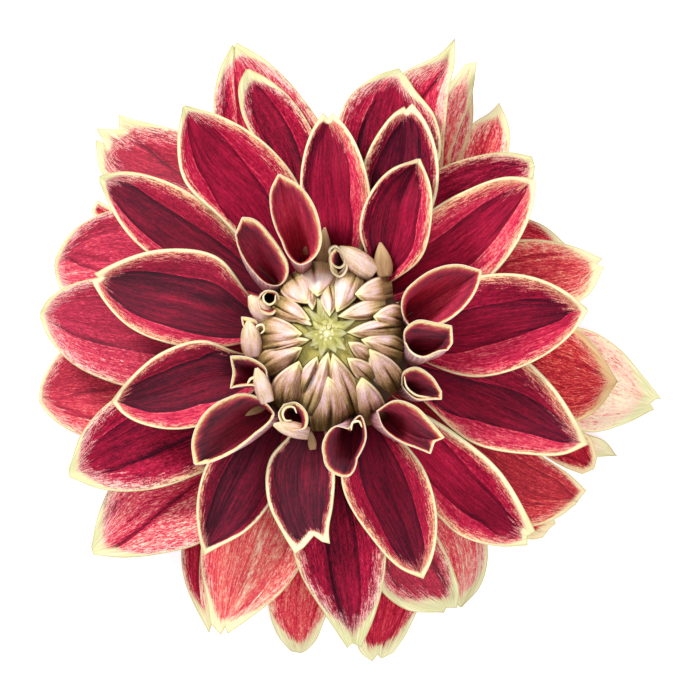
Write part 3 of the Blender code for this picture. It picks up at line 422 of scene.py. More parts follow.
def horn_surface(horn, u, v):
    """Middle surface of a rolled petal in mm: rows from root (u=0) to rim (1), columns round the
    rim from its base point (v=-1) over the outer end (0) back to the base point (1)."""
    share = np.abs(v)
    end_share = HORN_END_SHARE if len(horn.ends) > 1 else 0.0
    along = np.clip((1 - share) / (1 - end_share), 0, 1)
    sides = np.where((v < 0)[:, None], path(horn.left, along), path(horn.right, along))
    ends = plan_mm(horn.ends)
    if end_share:
        places = np.linspace(-end_share, end_share, len(ends))
        edge = np.column_stack([np.interp(v, places, ends[:, 0]), np.interp(v, places, ends[:, 1])])
        sides = np.where((share < end_share)[:, None], edge, sides)
    rim = np.column_stack([sides, smooth_through((0, 0.5, 1), horn.heights, 1 - share)])
    rim[:, 2] += horn.lift
    spread = unit(sides - sides.mean(axis=0)) * HORN_ROOT_RADIUS
    foot = np.column_stack([plan_mm(horn.root) + spread, np.full(len(v), HORN_ROOT_HEIGHT)])
    bulge = rim * (1 - HORN_BULGE) + foot * HORN_BULGE
    bulge[:, :2] += horn.belly * (PLAN_STEP, -PLAN_STEP)
    bulge[:, 2] = HORN_ROOT_HEIGHT + horn.sag * (rim[:, 2] - HORN_ROOT_HEIGHT)
    w = (1 - u)[:, None, None]
    return (1 - w)**2 * rim + 2 * w * (1 - w) * bulge + w**2 * foot


def end_teeth(petal, last_row, u, v):
    """Shift that turns the straight outer end into the petal's own tips and notches."""
    ends = plan_mm(petal.ends)
    places = np.linspace(-1, 1, len(ends)) if len(ends) > 1 else np.zeros(1)
    wanted = np.column_stack([np.interp(v, places, ends[:, 0]), np.interp(v, places, ends[:, 1])])
    shift = np.column_stack([wanted - last_row[:, :2], 0 * v])
    share = np.clip((u - TEETH_START) / (1 - TEETH_START), 0, 1) ** 1.5
    return share[:, None, None] * shift[None]


def surface_normals(surface):
    """Upward normals of a grid of points, taken from the row before where a row is one point."""
    along = np.gradient(surface, axis=0)
    across = np.gradient(surface, axis=1)
    normals = np.cross(across, along)
    size = np.linalg.norm(normals, axis=2, keepdims=True)
    normals = unit(normals)
    small = size[..., 0] < 1e-4
    for row, column in zip(*np.nonzero(small)):
        normals[row, column] = unit(normals[row - 1].mean(axis=0))
    return normals


def raster(surface, tops=None):
    """Cells of the height map under a surface; with `tops`, its heights are entered there."""
    half = HEIGHT_MAP // 2
    index = np.clip(np.round(surface[..., :2]).astype(int) + half, 0, HEIGHT_MAP - 1)
    if tops is not None:
        np.maximum.at(tops, (index[..., 1], index[..., 0]), surface[..., 2])
    return index[..., 1], index[..., 0]


def settle():
    """Lifts each petal, in turn, until it clears the petals that lie below it."""
    tops = np.full((HEIGHT_MAP, HEIGHT_MAP), NOTHING_BELOW)
    fine_u, fine_v = np.linspace(0, 1, STACK_GRID[0]), np.linspace(-1, 1, STACK_GRID[1])
    probe_u, probe_v = np.linspace(0, 1, PROBE_GRID[0]), np.linspace(-1, 1, PROBE_GRID[1])
    window = np.hanning(LIFT_WINDOW) / np.hanning(LIFT_WINDOW).sum()
    ends = LIFT_WINDOW // 2
    for petal in OUTER_PETALS + INNER_PETALS + CUPPED_PETALS:
        surface = petal_surface(petal, probe_u, probe_v)
        need = tops[raster(surface)] + LAYER_GAP - surface[..., 2]
        need[np.hypot(surface[..., 0], surface[..., 1]) < CLEAR_RADIUS] = 0
        need = np.maximum(need.max(axis=1), 0)
        wide = np.array([need[max(0, k - LIFT_ROWS):k + LIFT_ROWS + 1].max()
                         for k in range(len(need))])
        padded = np.pad(wide, ends, mode="edge")
        petal.lift = np.convolve(padded, window, mode="same")[ends:-ends]
        raster(petal_surface(petal, fine_u, fine_v), tops)
    for horn in HORNS:
        for _ in range(2):
            surface = horn_surface(horn, fine_u, fine_v)
            need = tops[raster(surface)] + LAYER_GAP - surface[..., 2]
            need[np.hypot(surface[..., 0], surface[..., 1]) < CLEAR_RADIUS + HORN_CLEARING] = 0
            horn.lift += max(need.max(), 0)


# ---- what each petal looks like ----------------------------------------------------------------
# Tone runs from 0, blackish maroon, over 0.4, crimson, 0.75, bright pink, and 0.9, coral, to 1.1,
# pale greenish cream. Left and right are as seen from the flower's middle, looking outward. For
# each petal: tone of its floor, tone near its tip, warmth of its reds, and for left and right the
# tone beyond the fold, which holds that wall's own colour together with its painted light and
# shade, the width in mm of the cream margin and the reach in mm of its flecks.
PETAL_LOOKS = {
    "D12": (1.12, 1.16, 0.3, (1.10, 1.10), (0.5, 0.5), (1.6, 1.6)),
    "D6": (0.74, 0.82, 0.5, (0.72, 0.80), (0.3, 0.4), (2.4, 2.4)),
    "D5b": (0.78, 0.86, 0.2, (0.80, 0.84), (0.2, 0.3), (2.4, 2.4)),
    "D26": (0.60, 0.62, 0.6, (0.62, 0.58), (0.3, 0.3), (0.9, 0.9)),
    "D15": (0.60, 0.70, 0.8, (0.62, 0.60), (0.5, 0.5), (1.2, 1.2)),
    "D9": (0.60, 0.70, 0.5, (0.60, 0.62), (0.3, 0.3), (1.2, 1.4)),
    "D18": (0.78, 0.76, 0.5, (0.78, 0.74), (0.3, 0.3), (1.6, 1.6)),
    "D20b": (0.56, 0.70, 0.3, (0.84, 0.56), (0.4, 0.2), (2.4, 1.4)),
    "D19": (0.57, 0.60, 0.4, (0.57, 0.53), (0.4, 0.3), (1.2, 1.2)),
    "D13": (0.46, 0.50, 0.8, (0.50, 0.44), (0.3, 0.3), (0.9, 1.0)),
    "D11": (1.08, 1.14, 0.3, (1.04, 1.02), (0.5, 0.5), (4.0, 4.0)),
    "D27": (0.42, 0.55, 0.3, (0.44, 0.50), (0.5, 0.5), (3.4, 3.4)),
    "D23": (0.68, 0.66, 0.4, (0.70, 0.60), (0.25, 0.25), (1.8, 1.6)),
    "D25": (0.60, 0.64, 0.1, (0.68, 0.58), (0.1, 0.25), (2.2, 1.6)),
    "D5": (0.80, 0.88, 0.2, (0.86, 0.76), (0.4, 0.3), (3.6, 2.2)),
    "D21": (0.76, 0.76, 0.1, (0.78, 0.74), (0.5, 0.2), (1.6, 3.4)),
    "D14": (0.57, 0.55, 0.8, (0.59, 0.60), (0.35, 0.4), (1.0, 1.6)),
    "D8": (0.62, 0.74, 0.7, (0.72, 0.66), (0.5, 0.6), (2.6, 3.6)),
    "D10": (0.62, 0.64, 0.9, (0.66, 0.62), (1.6, 1.0), (2.4, 2.0)),
    "D4": (0.62, 0.74, 0.2, (0.58, 0.80), (0.5, 0.4), (3.6, 2.4)),
    "D2": (0.60, 0.68, 0.1, (0.54, 0.66), (0.6, 0.25), (2.2, 2.6)),
    "D7": (0.52, 0.58, 0.0, (0.52, 0.38), (0.4, 0.4), (1.6, 1.8)),
    "D24": (0.50, 0.56, 0.1, (0.61, 0.57), (0.25, 0.3), (2.2, 2.0)),
    "D22": (0.33, 0.40, 0.1, (0.40, 0.46), (0.5, 0.2), (2.8, 2.2)),
    "D20": (0.87, 0.82, 0.5, (0.84, 0.70), (0.25, 0.2), (2.0, 1.6)),
    "D16b": (0.80, 0.92, 0.2, (0.84, 0.80), (0.8, 0.6), (3.0, 2.6)),
    "D16": (0.44, 0.56, 0.3, (0.46, 0.52), (0.6, 2.4), (2.2, 3.6)),
    "D17": (0.35, 0.40, 0.1, (0.40, 0.46), (0.6, 0.5), (2.6, 2.2)),
    "D3": (0.31, 0.44, 0.1, (0.50, 0.33), (0.25, 0.8), (2.2, 2.2)),
    "D1": (0.33, 0.40, 0.1, (0.46, 0.42), (0.9, 0.25), (1.8, 1.6)),
    "C5": (0.39, 0.36, 0.1, (0.49, 0.66), (1.4, 0.8), (3.4, 1.9)),
    "C3": (0.52, 0.51, 0.1, (0.76, 0.68), (0.8, 1.1), (3.6, 2.4)),
    "C12": (0.34, 0.38, 0.1, (0.66, 0.56), (0.9, 0.8), (1.4, 2.8)),
    "C9": (0.29, 0.31, 0.0, (0.29, 0.44), (1.0, 0.8), (0.6, 1.8)),
    "C2": (0.25, 0.31, 0.1, (0.38, 0.25), (0.8, 1.1), (2.0, 1.6)),
    "C6": (0.55, 0.46, 0.1, (0.61, 0.69), (1.8, 0.6), (3.0, 2.6)),
    "C11": (0.32, 0.30, 0.1, (0.62, 0.56), (0.6, 1.2), (2.2, 2.6)),
    "C13": (0.46, 0.50, 0.1, (0.60, 0.60), (1.0, 0.7), (1.6, 2.8)),
    "C4": (0.44, 0.34, 0.1, (0.54, 0.65), (1.0, 0.7), (3.2, 1.8)),
    "C7": (0.35, 0.34, 0.1, (0.51, 0.53), (0.8, 0.7), (2.6, 2.2)),
    "C8": (0.29, 0.29, 0.0, (0.29, 0.36), (1.1, 1.1), (1.4, 1.4)),
    "C10": (0.31, 0.28, 0.1, (0.64, 0.56), (0.7, 1.0), (1.6, 2.0)),
    "C1": (0.49, 0.49, 0.1, (0.34, 0.66), (0.8, 0.9), (1.0, 3.0)),
    "B14": (0.43, 0.42, 0.1, (0.42, 0.60), (0.8, 0.6), (1.1, 2.4)),
}
# Plan curves of the folds, left and right, of the petals that don't have them at DEFAULT_FOLD.
FOLDS = {
    "C1": ([(308, 200), (310, 170), (316, 145), (323, 130)],
           [(351, 250), (350, 200), (349, 165), (343, 138)]),
    "C2": ([(370, 200), (376, 165), (388, 138), (400, 122)],
           [(418, 200), (421, 165), (419, 130)]),
    "B14": ([(368, 240), (374, 210), (392, 180), (408, 168)],
            [(404, 262), (416, 225), (421, 195), (419, 175)]),
    "C3": ([(425, 247), (450, 229), (480, 206), (515, 187)],
           [(470, 264), (497, 236), (515, 210), (526, 192)]),
    "C4": ([(462, 311), (500, 302), (550, 299), (575, 303)],
           [(440, 354), (480, 348), (520, 336), (560, 320), (577, 309)]),
    "C5": ([(475, 382), (520, 394), (555, 414), (578, 434)],
           [(440, 410), (475, 420), (520, 432), (560, 443), (575, 443)]),
    "C6": ([(443, 440), (470, 470), (500, 502), (519, 524)],
           [(430, 482), (450, 502), (480, 522), (508, 540)]),
    "C7": ([(395, 455), (406, 480), (417, 515), (425, 550)],
           [(360, 480), (376, 515), (390, 545), (403, 563)]),
    "C8": ([(326, 450), (327, 500), (322, 530)], [(276, 455), (279, 500), (288, 535)]),
    "C9": ([(278, 455), (262, 500), (232, 535)], [(224, 470), (213, 500), (206, 525)]),
    "C10": ([(225, 399), (200, 405), (175, 411), (150, 412), (128, 406)],
            [(230, 350), (200, 358), (165, 371), (135, 384), (119, 394)]),
    "C11": ([(245, 338), (195, 334), (160, 324), (130, 312), (111, 298)],
            [(235, 297), (190, 279), (160, 273), (130, 271), (107, 276)]),
    "C12": ([(200, 275), (165, 251), (140, 231), (115, 202), (106, 190)],
            [(225, 246), (190, 222), (155, 199), (125, 182)]),
    "C13": ([(235, 230), (220, 208), (207, 185), (195, 160), (187, 130)],
            [(290, 226), (272, 200), (255, 175), (235, 150), (207, 121)]),
    "D1": ([(275, 165), (262, 135), (249, 102)], [(300, 155), (290, 130), (272, 102), (262, 90)]),
    "D2": ([(240, 140), (236, 110), (234, 80), (234, 55)], None),
    "D3": ([(355, 160), (361, 130), (371, 104), (388, 81)], None),
    "D4": ([(405, 125), (421, 99), (440, 75), (448, 57)], None),
    "D5": (None, [(447, 158), (460, 120), (470, 82)]),
    "D6": ([(480, 155), (490, 130), (497, 112)], None),
    "D7": (None, [(440, 206), (470, 184), (505, 161)]),
    "D8": ([(500, 264), (530, 255), (568, 254)], None),
    "D10": ([(540, 345), (565, 353), (594, 368)], None),
    "D14": (None, [(515, 500), (545, 503), (574, 500)]),
    "D17": ([(350, 500), (360, 560), (360, 615)], [(320, 500), (328, 560), (338, 605), (344, 628)]),
    "D20": (None, [(203, 560), (208, 590), (214, 615)]),
    "D20b": ([(200, 560), (200, 590), (205, 615)], None),
    "D21": ([(205, 478), (175, 501), (145, 526), (112, 549)], None),
    "D22": ([(200, 436), (160, 453), (130, 465), (98, 474)],
            [(150, 405), (120, 425), (95, 443), (80, 464)]),
    "D23": (None, [(120, 385), (90, 391), (58, 397)]),
    "D24": ([(180, 357), (150, 353), (110, 347), (75, 335), (51, 322)], None),
    "D25": ([(105, 274), (80, 266), (59, 258)], None),
    "D27": (None, [(180, 172), (150, 150), (127, 131)]),
}
# Extra thin grooves and ridges: plan curve, half width in mm, depth in mm, and change of tone,
# which is painted shade along the grooves and painted light along the ridges.
LINES = {
    "D2": [([(236, 125), (233, 90), (233, 50)], 0.35, -0.3, 0.35),
           ([(226, 120), (225, 75)], 0.4, 0.3, -0.2), ([(262, 62), (300, 98)], 0.4, 0.2, 0.1)],
    "D3": [([(362, 122), (372, 103), (389, 81)], 0.35, -0.4, 0.35),
           ([(358, 150), (366, 118), (378, 95)], 0.5, 0.4, -0.2)],
    "D4": [([(448, 57), (440, 75), (421, 99)], 0.45, 0.5, -0.4)],
    "D5": [([(446, 160), (462, 128), (466, 108)], 0.3, -0.3, 0.3)],
    "D8": [([(505, 266), (550, 258), (577, 256)], 0.25, -0.2, 0.2)],
    "D10": [([(555, 352), (590, 365)], 0.25, -0.2, 0.2), ([(540, 395), (590, 392)], 0.4, 0.2, -0.1)],
    "D11": [([(609, 388), (655, 400)], 0.5, 0.5, -0.1)],
    "D14": [([(520, 500), (575, 501)], 0.3, -0.3, 0.25)],
    "D16": [([(425, 550), (450, 592)], 0.6, 0.4, -0.2)],
    "D17": [([(325, 530), (332, 580), (343, 620)], 0.9, 0.4, -0.15)],
    "D20": [([(263, 530), (247, 588), (232, 616)], 0.3, -0.2, 0.18),
            ([(205, 560), (210, 590), (216, 612)], 0.5, 0.3, -0.15)],
    "D21": [([(205, 478), (175, 500), (145, 525), (115, 547)], 0.6, 0.6, -0.36),
            ([(158, 495), (130, 520)], 0.35, 0.3, -0.2), ([(118, 500), (103, 524)], 0.4, 0.3, -0.25)],
    "D22": [([(190, 440), (150, 455), (110, 470)], 0.5, 0.3, -0.12)],
    "D23": [([(120, 385), (78, 394)], 0.4, 0.3, -0.2), ([(95, 418), (60, 405)], 0.4, 0.3, -0.2)],
    "D24": [([(110, 347), (75, 335), (52, 322)], 0.3, 0.2, -0.15)],
    "D25": [([(110, 262), (62, 250)], 0.4, 0.3, -0.15), ([(105, 272), (62, 258)], 0.4, 0.3, -0.15)],
    "D27": [([(185, 178), (150, 150), (128, 132)], 0.6, 0.4, -0.15),
            ([(122, 170), (108, 155)], 0.5, 0.3, -0.15)],
    "B14": [([(398, 200), (412, 172)], 0.6, 0.2, -0.12)],
    "C11": [([(235, 313), (190, 303), (130, 290)], 0.3, -0.1, 0.08),
            ([(230, 305), (185, 290), (120, 278)], 0.7, 0.2, -0.08)],
    "C12": [([(190, 240), (150, 215), (130, 200)], 0.5, 0.2, -0.08)],
    "C9": [([(250, 470), (230, 520)], 0.5, 0.2, -0.06), ([(238, 470), (215, 525)], 0.4, 0.2, -0.1)],
    "C7": [([(383, 470), (400, 520), (412, 555)], 0.4, 0.2, -0.08)],
}
# For each rolled petal: tones of its inside and of its lit lip, widths in mm of its lip on the
# left and right path, of its cream margin and of its flecks, left and right, and whether its
# inner end is round.
HORN_LOOKS = {
    "B13": (0.57, 0.60, 0.6, 1.0, (0.35, 0.45), (1.0, 2.6), True),
    "B12": (0.44, 0.50, 0.5, 0.9, (0.35, 0.5), (0.9, 2.0), True),
    "B11": (0.55, 0.62, 1.3, 0.6, (0.45, 0.35), (2.4, 0.8), True),
    "B10": (0.36, 0.58, 0.7, 1.1, (0.9, 0.4), (1.2, 2.0), True),
    "B7": (0.38, 0.74, 1.6, 0.5, (0.5, 0.35), (2.2, 0.9), False),
    "B6": (0.34, 0.56, 1.2, 1.0, (0.4, 0.4), (1.6, 1.6), False),
    "B9": (0.38, 0.86, 1.6, 0.4, (0.55, 0.4), (2.0, 0.8), False),
    "B8": (0.37, 0.84, 1.5, 0.4, (0.55, 0.4), (1.9, 0.8), False),
    "B5": (0.48, 0.62, 0.9, 0.9, (0.5, 0.5), (1.0, 1.0), False),
    "B4": (0.42, 0.62, 0.6, 0.9, (0.5, 0.5), (1.0, 1.0), False),
    "B3": (0.46, 0.56, 0.4, 0.4, (0.4, 0.4), (0.7, 0.7), False),
    "B2": (0.48, 0.58, 0.5, 0.5, (0.4, 0.4), (0.8, 0.8), False),
    "B1": (0.46, 0.56, 0.4, 0.4, (0.4, 0.4), (0.8, 0.8), False),
}
ROUND_END = 0.30           # share of a rolled petal's length taken by its round end
ROUND_OUTSIDE = ("B6",)
LIT_FROM = np.array((-0.62, 0.78))      # painted light: walls that face this way are painted lighter, the others darker
# Gains of the painted light on walls that face LIT_FROM, of the painted shade on those that face
# away, and of the painted shade towards a petal's root.
WALL_PAINTED_LIGHT = 0.16
SHADE_GAIN = 0.14
BASE_SHADE = 0.10
GROOVES = ((-0.3, 0.10), (0.03, 0.07), (0.28, 0.10))

MARGIN_SHARE = 0.48        # of the margin widths given above
ROLLED_MARGIN = 1.35       # of the rolled petals' margin widths given above
DEEP_PAINTED_LIGHT = 0.012          # painted light: rise of a rolled petal's tone with depth, per mm, against its real shade deep inside
ROLLED_PAINTED_SHEEN = 0.042       # share of the painted pale pinkish sheen over the rolled petals' reds
ROLLED_WARMTH = 0.05
NO_FOLD = -9.0             # distance in mm from a fold, where there is none
FLECK_SHARE = 1.15         # of the fleck reaches given above
OUTER_PATCH = 1.7          # growth in mm of the margin towards a tip
INNER_PATCH = 0.85
TIP_MARGIN = 0.6           # growth of the margin, as a share, towards a tip
TIP_FLECKS = (0.8, 0.30)   # growth of the flecks' reach towards a tip, of outer and inner petals
TIP_DARK = 0.10            # how much darker an inner petal's floor gets towards its tip
# Distances in mm from the axis where margins turn from green to golden, of outer and inner petals.
GOLD_RANGES = ((54, 36), (57, 44))
TAN_SHARE = {"D10": 0.85, "D13": 0.4, "D15": 0.3, "D14": 0.25}     # of a tan tint in margins
# Growth in mm of the margins towards the tips that have less of it, or more, than most.
PATCHES = {"D25": 0.8, "D24": 0.7, "D23": 0.5, "D10": 1.0, "D13": 0.9, "D8": 1.6,
           "D14": 0.7, "D26": 0.4, "D7": 0.8, "D11": 2.8, "D17": 2.3, "D4": 1.5,
           "D1": 1.8, "D16": 2.3, "D21": 2.3, "D18": 2.1, "D19": 2.2, "D6": 1.6, "D3": 1.4}
# Share of a painted pale pinkish sheen that lies over a petal's reds.
PAINTED_SHEEN = {"D24": 0.04, "D23": 0.04, "D25": 0.04, "D14": 0.03, "D10": 0.012, "D21": 0.01, "D27": 0.05,
         "D8": 0.02, "D20": 0.02, "D16": 0.04, "C8": 0.024, "C11": 0.022, "C12": 0.018,
         "C10": 0.016, "C9": 0.010, "C7": 0.006, "C5": 0.006}
# Strength of a petal's fine streaks where it isn't that of most outer petals.
CONTRASTS = {"D21": 1.8, "D10": 1.8, "D8": 1.6, "D14": 1.4, "D24": 1.4, "D25": 1.4,
             "D23": 1.4, "D2": 1.3, "D16": 1.2}
PLAIN_CONTRASTS = (1.0, 0.2)       # of the other outer and inner petals
# Growth in width of petals that would look too narrow.
WIDER = {"D5": 1.3, "D4": 1.12, "D5b": 1.2, "D6": 1.15}
OUTER_STRETCH = 0.010      # growth of the outer petals' reach from the axis

FINE_WAISTS = (0.6, 0.85)  # width at the root over the plan's width, of outer and inner petals
FLOOR_CLEARANCE = 0.25     # in mm, of the lowest petals' middle surfaces
ROOT_EDGE = 0.03           # share of the margin and the flecks that is left at a petal's root
PETAL_ROWS, PETAL_COLUMNS = 64, 45
HORN_ROWS, HORN_COLUMNS = 36, 73


# ---- meshes ------------------------------------------------------------------------------------
class Piece:
    """Collects grids of points with their painted values, and makes one object of them."""

    def __init__(self, name, node):
        self.name = name
        self.node = node
        self.points = []
        self.faces = []
        self.values = {}
        self.count = 0

    def add(self, points, faces, values):
        """Adds points (n, 3) in the plan's mm, faces of indices, and values by name (n,)."""
        self.points.append(points)
        self.faces += [tuple(self.count + k for k in face) for face in faces]
        values.setdefault("reverse", np.zeros(len(points)))
        for name, value in values.items():
            shape = (len(points), 3) if np.ndim(value) == 2 else (len(points),)
            self.values.setdefault(name, []).append(np.broadcast_to(value, shape))
        self.count += len(points)

    def build(self, material):
        """Makes the object, rides it on the body and has it replace its node."""
        mesh = bpy.data.meshes.new(self.name)
        points = (np.vstack(self.points) - ORIGIN) * MM
        mesh.from_pydata(points.tolist(), [], self.faces)
        for name, parts in self.values.items():
            values = np.concatenate(parts)
            kind, field = ("FLOAT_VECTOR", "vector") if values.ndim == 2 else ("FLOAT", "value")
            layer = mesh.attributes.new(name, kind, "POINT")
            layer.data.foreach_set(field, np.ascontiguousarray(values, np.float32).ravel())
        mesh.shade_smooth()
        item = bpy.data.objects.new(self.name, mesh)
        bpy.context.scene.collection.objects.link(item)
        mesh.materials.append(material)
        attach(item, "root")
        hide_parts(self.node)


def grid_faces(rows, columns, closed, start=0, flip=False):
    """Quads of a grid of points; closed, its last column is joined to its first."""
    width = columns if closed else columns - 1
    row, column = np.meshgrid(np.arange(rows - 1), np.arange(width), indexing="ij")
    near = (column + 1) % columns
    quads = np.stack([row * columns + column, row * columns + near,
                      (row + 1) * columns + near, (row + 1) * columns + column], axis=-1)
    quads = quads.reshape(-1, 4) + start
    return (quads[:, ::-1] if flip else quads).tolist()


def tube_faces(rows, sides):
    """Faces of a closed tube of points, with a middle point after them for each of its ends."""
    faces = grid_faces(rows, sides, True)
    last = (rows - 1) * sides
    for k in range(sides):
        near = (k + 1) % sides
        faces.append((near, k, rows * sides))
        faces.append((last + k, last + near, rows * sides + 1))
    return faces


def two_sided(surface, thickness, values, closed=False):
    """Points, faces and values of a thin closed solid round a grid of points."""
    rows, columns = surface.shape[:2]
    if closed:
        along = np.gradient(surface, axis=0)
        across = np.roll(surface, -1, axis=1) - np.roll(surface, 1, axis=1)
        normals = unit(np.cross(across, along))
        middle = surface.mean(axis=1, keepdims=True)
        if np.sum(normals * (surface - middle)) > 0:
            normals = -normals
    else:
        normals = surface_normals(surface)
    offset = normals * (thickness / 2)[..., None]
    count = rows * columns
    points = np.vstack([(surface + offset).reshape(-1, 3), (surface - offset).reshape(-1, 3)])
    faces = grid_faces(rows, columns, closed)
    faces += grid_faces(rows, columns, closed, count, True)
    if closed:
        loops = [list(range(columns)), [(rows - 1) * columns + k for k in range(columns)]]
        loops[0].reverse()
    else:
        border = list(range(columns))
        border += [row * columns + columns - 1 for row in range(1, rows)]
        border += [(rows - 1) * columns + k for k in range(columns - 2, -1, -1)]
        border += [row * columns for row in range(rows - 2, 0, -1)]
        loops = [border]
    for loop in loops:
        for a, b in zip(loop, loop[1:] + loop[:1]):
            faces.append((b, a, count + a, count + b))
    doubled = {}
    for name, value in values.items():
        if name.endswith(" of the back"):
            continue
        flat = value.reshape(-1, 3) if value.ndim == 3 else value.ravel()
        back = values.get(name + " of the back", value).reshape(flat.shape)
        doubled[name] = np.concatenate([flat, back])
    doubled["reverse"] = np.concatenate([np.zeros(count), np.ones(count)])
    return points, faces, doubled


def distance_to(points, line):
    """Least distances of points from a polyline, both in the same space."""
    best = np.full(points.shape[:-1], 1e9)
    for start, end in zip(line[:-1], line[1:]):
        span = end - start
        share = np.clip(((points - start) @ span) / max(span @ span, 1e-9), 0, 1)
        best = np.minimum(best, np.linalg.norm(points - start - share[..., None] * span, axis=-1))
    return best


def softly_above(height, least, round_off):
    """Heights kept above a level, with a smooth change over round_off."""
    return least + round_off * np.logaddexp(0, (height - least) / round_off)


def fold_places(petal, u, v, waist):
    """Place across the petal, in each row, of its left and right fold."""
    plain = np.full(len(u), DEFAULT_FOLD)
    surface = fine_surface(petal, u, v, waist, (-plain, plain))[..., :2]
    tips = 0.35 + 0.65 * step_up(1.0, 0.85, u)
    places = []
    for side, curve in zip((-1, 1), FOLDS.get(petal.name, (None, None))):
        if curve is None:
            places.append(side * DEFAULT_FOLD * tips)
            continue
        found = []
        for point in plan_mm(curve):
            gap = np.linalg.norm(surface - point, axis=-1)
            row, column = np.unravel_index(gap.argmin(), gap.shape)
            found.append((u[row], v[column]))
        found = np.array(sorted(found))
        place = np.interp(u, found[:, 0], found[:, 1])
        places.append(place * np.where(u > found[-1, 0], tips / max(np.interp(
            found[-1, 0], u, tips), 0.1), 1.0))
    return places


def petal_grid(petal, seed):
    """A fine petal: its surface with grooves and folds, and its painted values."""
    t = np.linspace(0, 1, PETAL_ROWS)
    u = 1 - (1 - t)**1.25
    s = np.linspace(-1, 1, PETAL_COLUMNS)
    v = 1.3 * s - 0.3 * s**3
    is_inner = petal not in OUTER_PETALS
    waist = FINE_WAISTS[is_inner]
    folds = fold_places(petal, u, v, waist)
    surface = fine_surface(petal, u, v, waist, folds)
    floor, tip, warm, wings, margins, flecks = PETAL_LOOKS[petal.name]
    border = np.vstack([surface[:, 0], surface[-1], surface[::-1, -1]])
    edge = distance_to(surface, border)
    length = np.concatenate([[0], np.cumsum(np.linalg.norm(
        np.diff(surface[:, PETAL_COLUMNS // 2], axis=0), axis=1))])
    half = np.linalg.norm(surface[:, -1] - surface[:, 0], axis=1) / 2
    normals = surface_normals(surface)
    inside = step_up(0.5, 2.5, edge) * step_up(0, 0.15, u)[:, None]
    relief = np.zeros(edge.shape)
    groove_shade_and_ridge_light = np.zeros(edge.shape)
    # Grooves and lines dent or raise the surface, with painted shade along the grooves and painted
    # light along the raised lines.
    for place, depth in GROOVES:
        wander = place + 0.05 * math.sin(seed * 3.7 + place * 9)
        ridge = np.exp(-((v - wander) / 0.04)**2)[None] * inside
        relief -= depth * ridge
        groove_shade_and_ridge_light -= 0.05 * ridge
    for line, width, depth, change in LINES.get(petal.name, []):
        near = np.exp(-(distance_to(surface[..., :2], plan_mm(line)) / width)**2)
        relief -= depth * near
        groove_shade_and_ridge_light += change * near
    surface = surface + normals * relief[..., None]
    if petal.name in WIDER:
        mid_line = surface[:, PETAL_COLUMNS // 2, None, :2]
        wider = (WIDER[petal.name] - 1) * (step_up(0.2, 0.5, u) * step_up(1.0, 0.85, u))
        surface[..., :2] += wider[:, None, None] * (surface[..., :2] - mid_line)
    if not is_inner:
        surface[..., :2] *= 1 + OUTER_STRETCH * u[:, None, None]**2
    surface[..., 2] = softly_above(surface[..., 2], REST_HEIGHT + FLOOR_CLEARANCE, 0.5)
    # Painted light and shade: walls tilted towards LIT_FROM lighter, those turned away darker,
    # painted shade towards the root, then the grooves' painted shade and the ridges' painted light.
    tilt = normals[..., :2] - normals[:, PETAL_COLUMNS // 2, None, :2]
    facing = tilt @ unit(LIT_FROM)
    tone = floor + (tip - floor) * step_up(0.35, 1.0, u)[:, None]
    tone = tone + WALL_PAINTED_LIGHT * np.clip(facing, 0, 1) - SHADE_GAIN * np.clip(-facing, 0, 1)
    tone = tone - BASE_SHADE * (1 - u[:, None])**1.5 + groove_shade_and_ridge_light
    if is_inner:
        within = step_up(0.12, -0.12, np.abs(v)[None] - np.abs(folds[0])[:, None])
        tone = tone - TIP_DARK * within * step_up(0.50, 0.86, u)[:, None]
    right = step_up(-0.15, 0.15, v)[None]
    grow = 1 + TIP_MARGIN * step_up(0.72, 1, u)[:, None]
    reach_grow = 1 + TIP_FLECKS[is_inner] * step_up(0.70, 1, u)[:, None]
    if is_inner:
        patch = INNER_PATCH * step_up(0.90, 1, u)[:, None]
    else:
        patch = PATCHES.get(petal.name, OUTER_PATCH) * step_up(0.80, 1, u)[:, None]
    shape = np.zeros(edge.shape)
    grow = grow * (ROOT_EDGE + (1 - ROOT_EDGE) * step_up(0.10, 0.38, u)[:, None])
    reach_grow = reach_grow * (ROOT_EDGE + (1 - ROOT_EDGE) * step_up(0.10, 0.42, u)[:, None])
    distance = np.linalg.norm(surface[..., :2], axis=-1)
    gold = step_up(*GOLD_RANGES[is_inner], distance) + 0.3 * step_up(0, 30, surface[..., 0])
    values = {
        "tone": tone, "edge": edge, "warm": shape + warm,
        "margin": patch + MARGIN_SHARE * (margins[0] + (margins[1] - margins[0]) * right) * grow,
        "tan": shape + TAN_SHARE.get(petal.name, 0.0),
        "contrast": shape + CONTRASTS.get(petal.name, PLAIN_CONTRASTS[is_inner]),
        "bloom": shape + PAINTED_SHEEN.get(petal.name, 0.0),
        "flecks": FLECK_SHARE * (flecks[0] + (flecks[1] - flecks[0]) * right) * reach_grow,
        "left_fold": (folds[0][:, None] - v[None]) * half[:, None],
        "right_fold": (v[None] - folds[1][:, None]) * half[:, None],
        "left_gain": shape + wings[0] - floor, "right_gain": shape + wings[1] - floor,
        "gold": np.clip(np.maximum(gold, 1.1 * warm), 0, 1),
        "grain": np.stack([v[None] * half.max() + shape, length[:, None] + shape,
                           shape + seed * 7.3], axis=-1),
    }
    thickness = BLADE * (0.35 + 0.65 * step_up(0, 0.8, edge))
    return two_sided(surface, thickness, values)


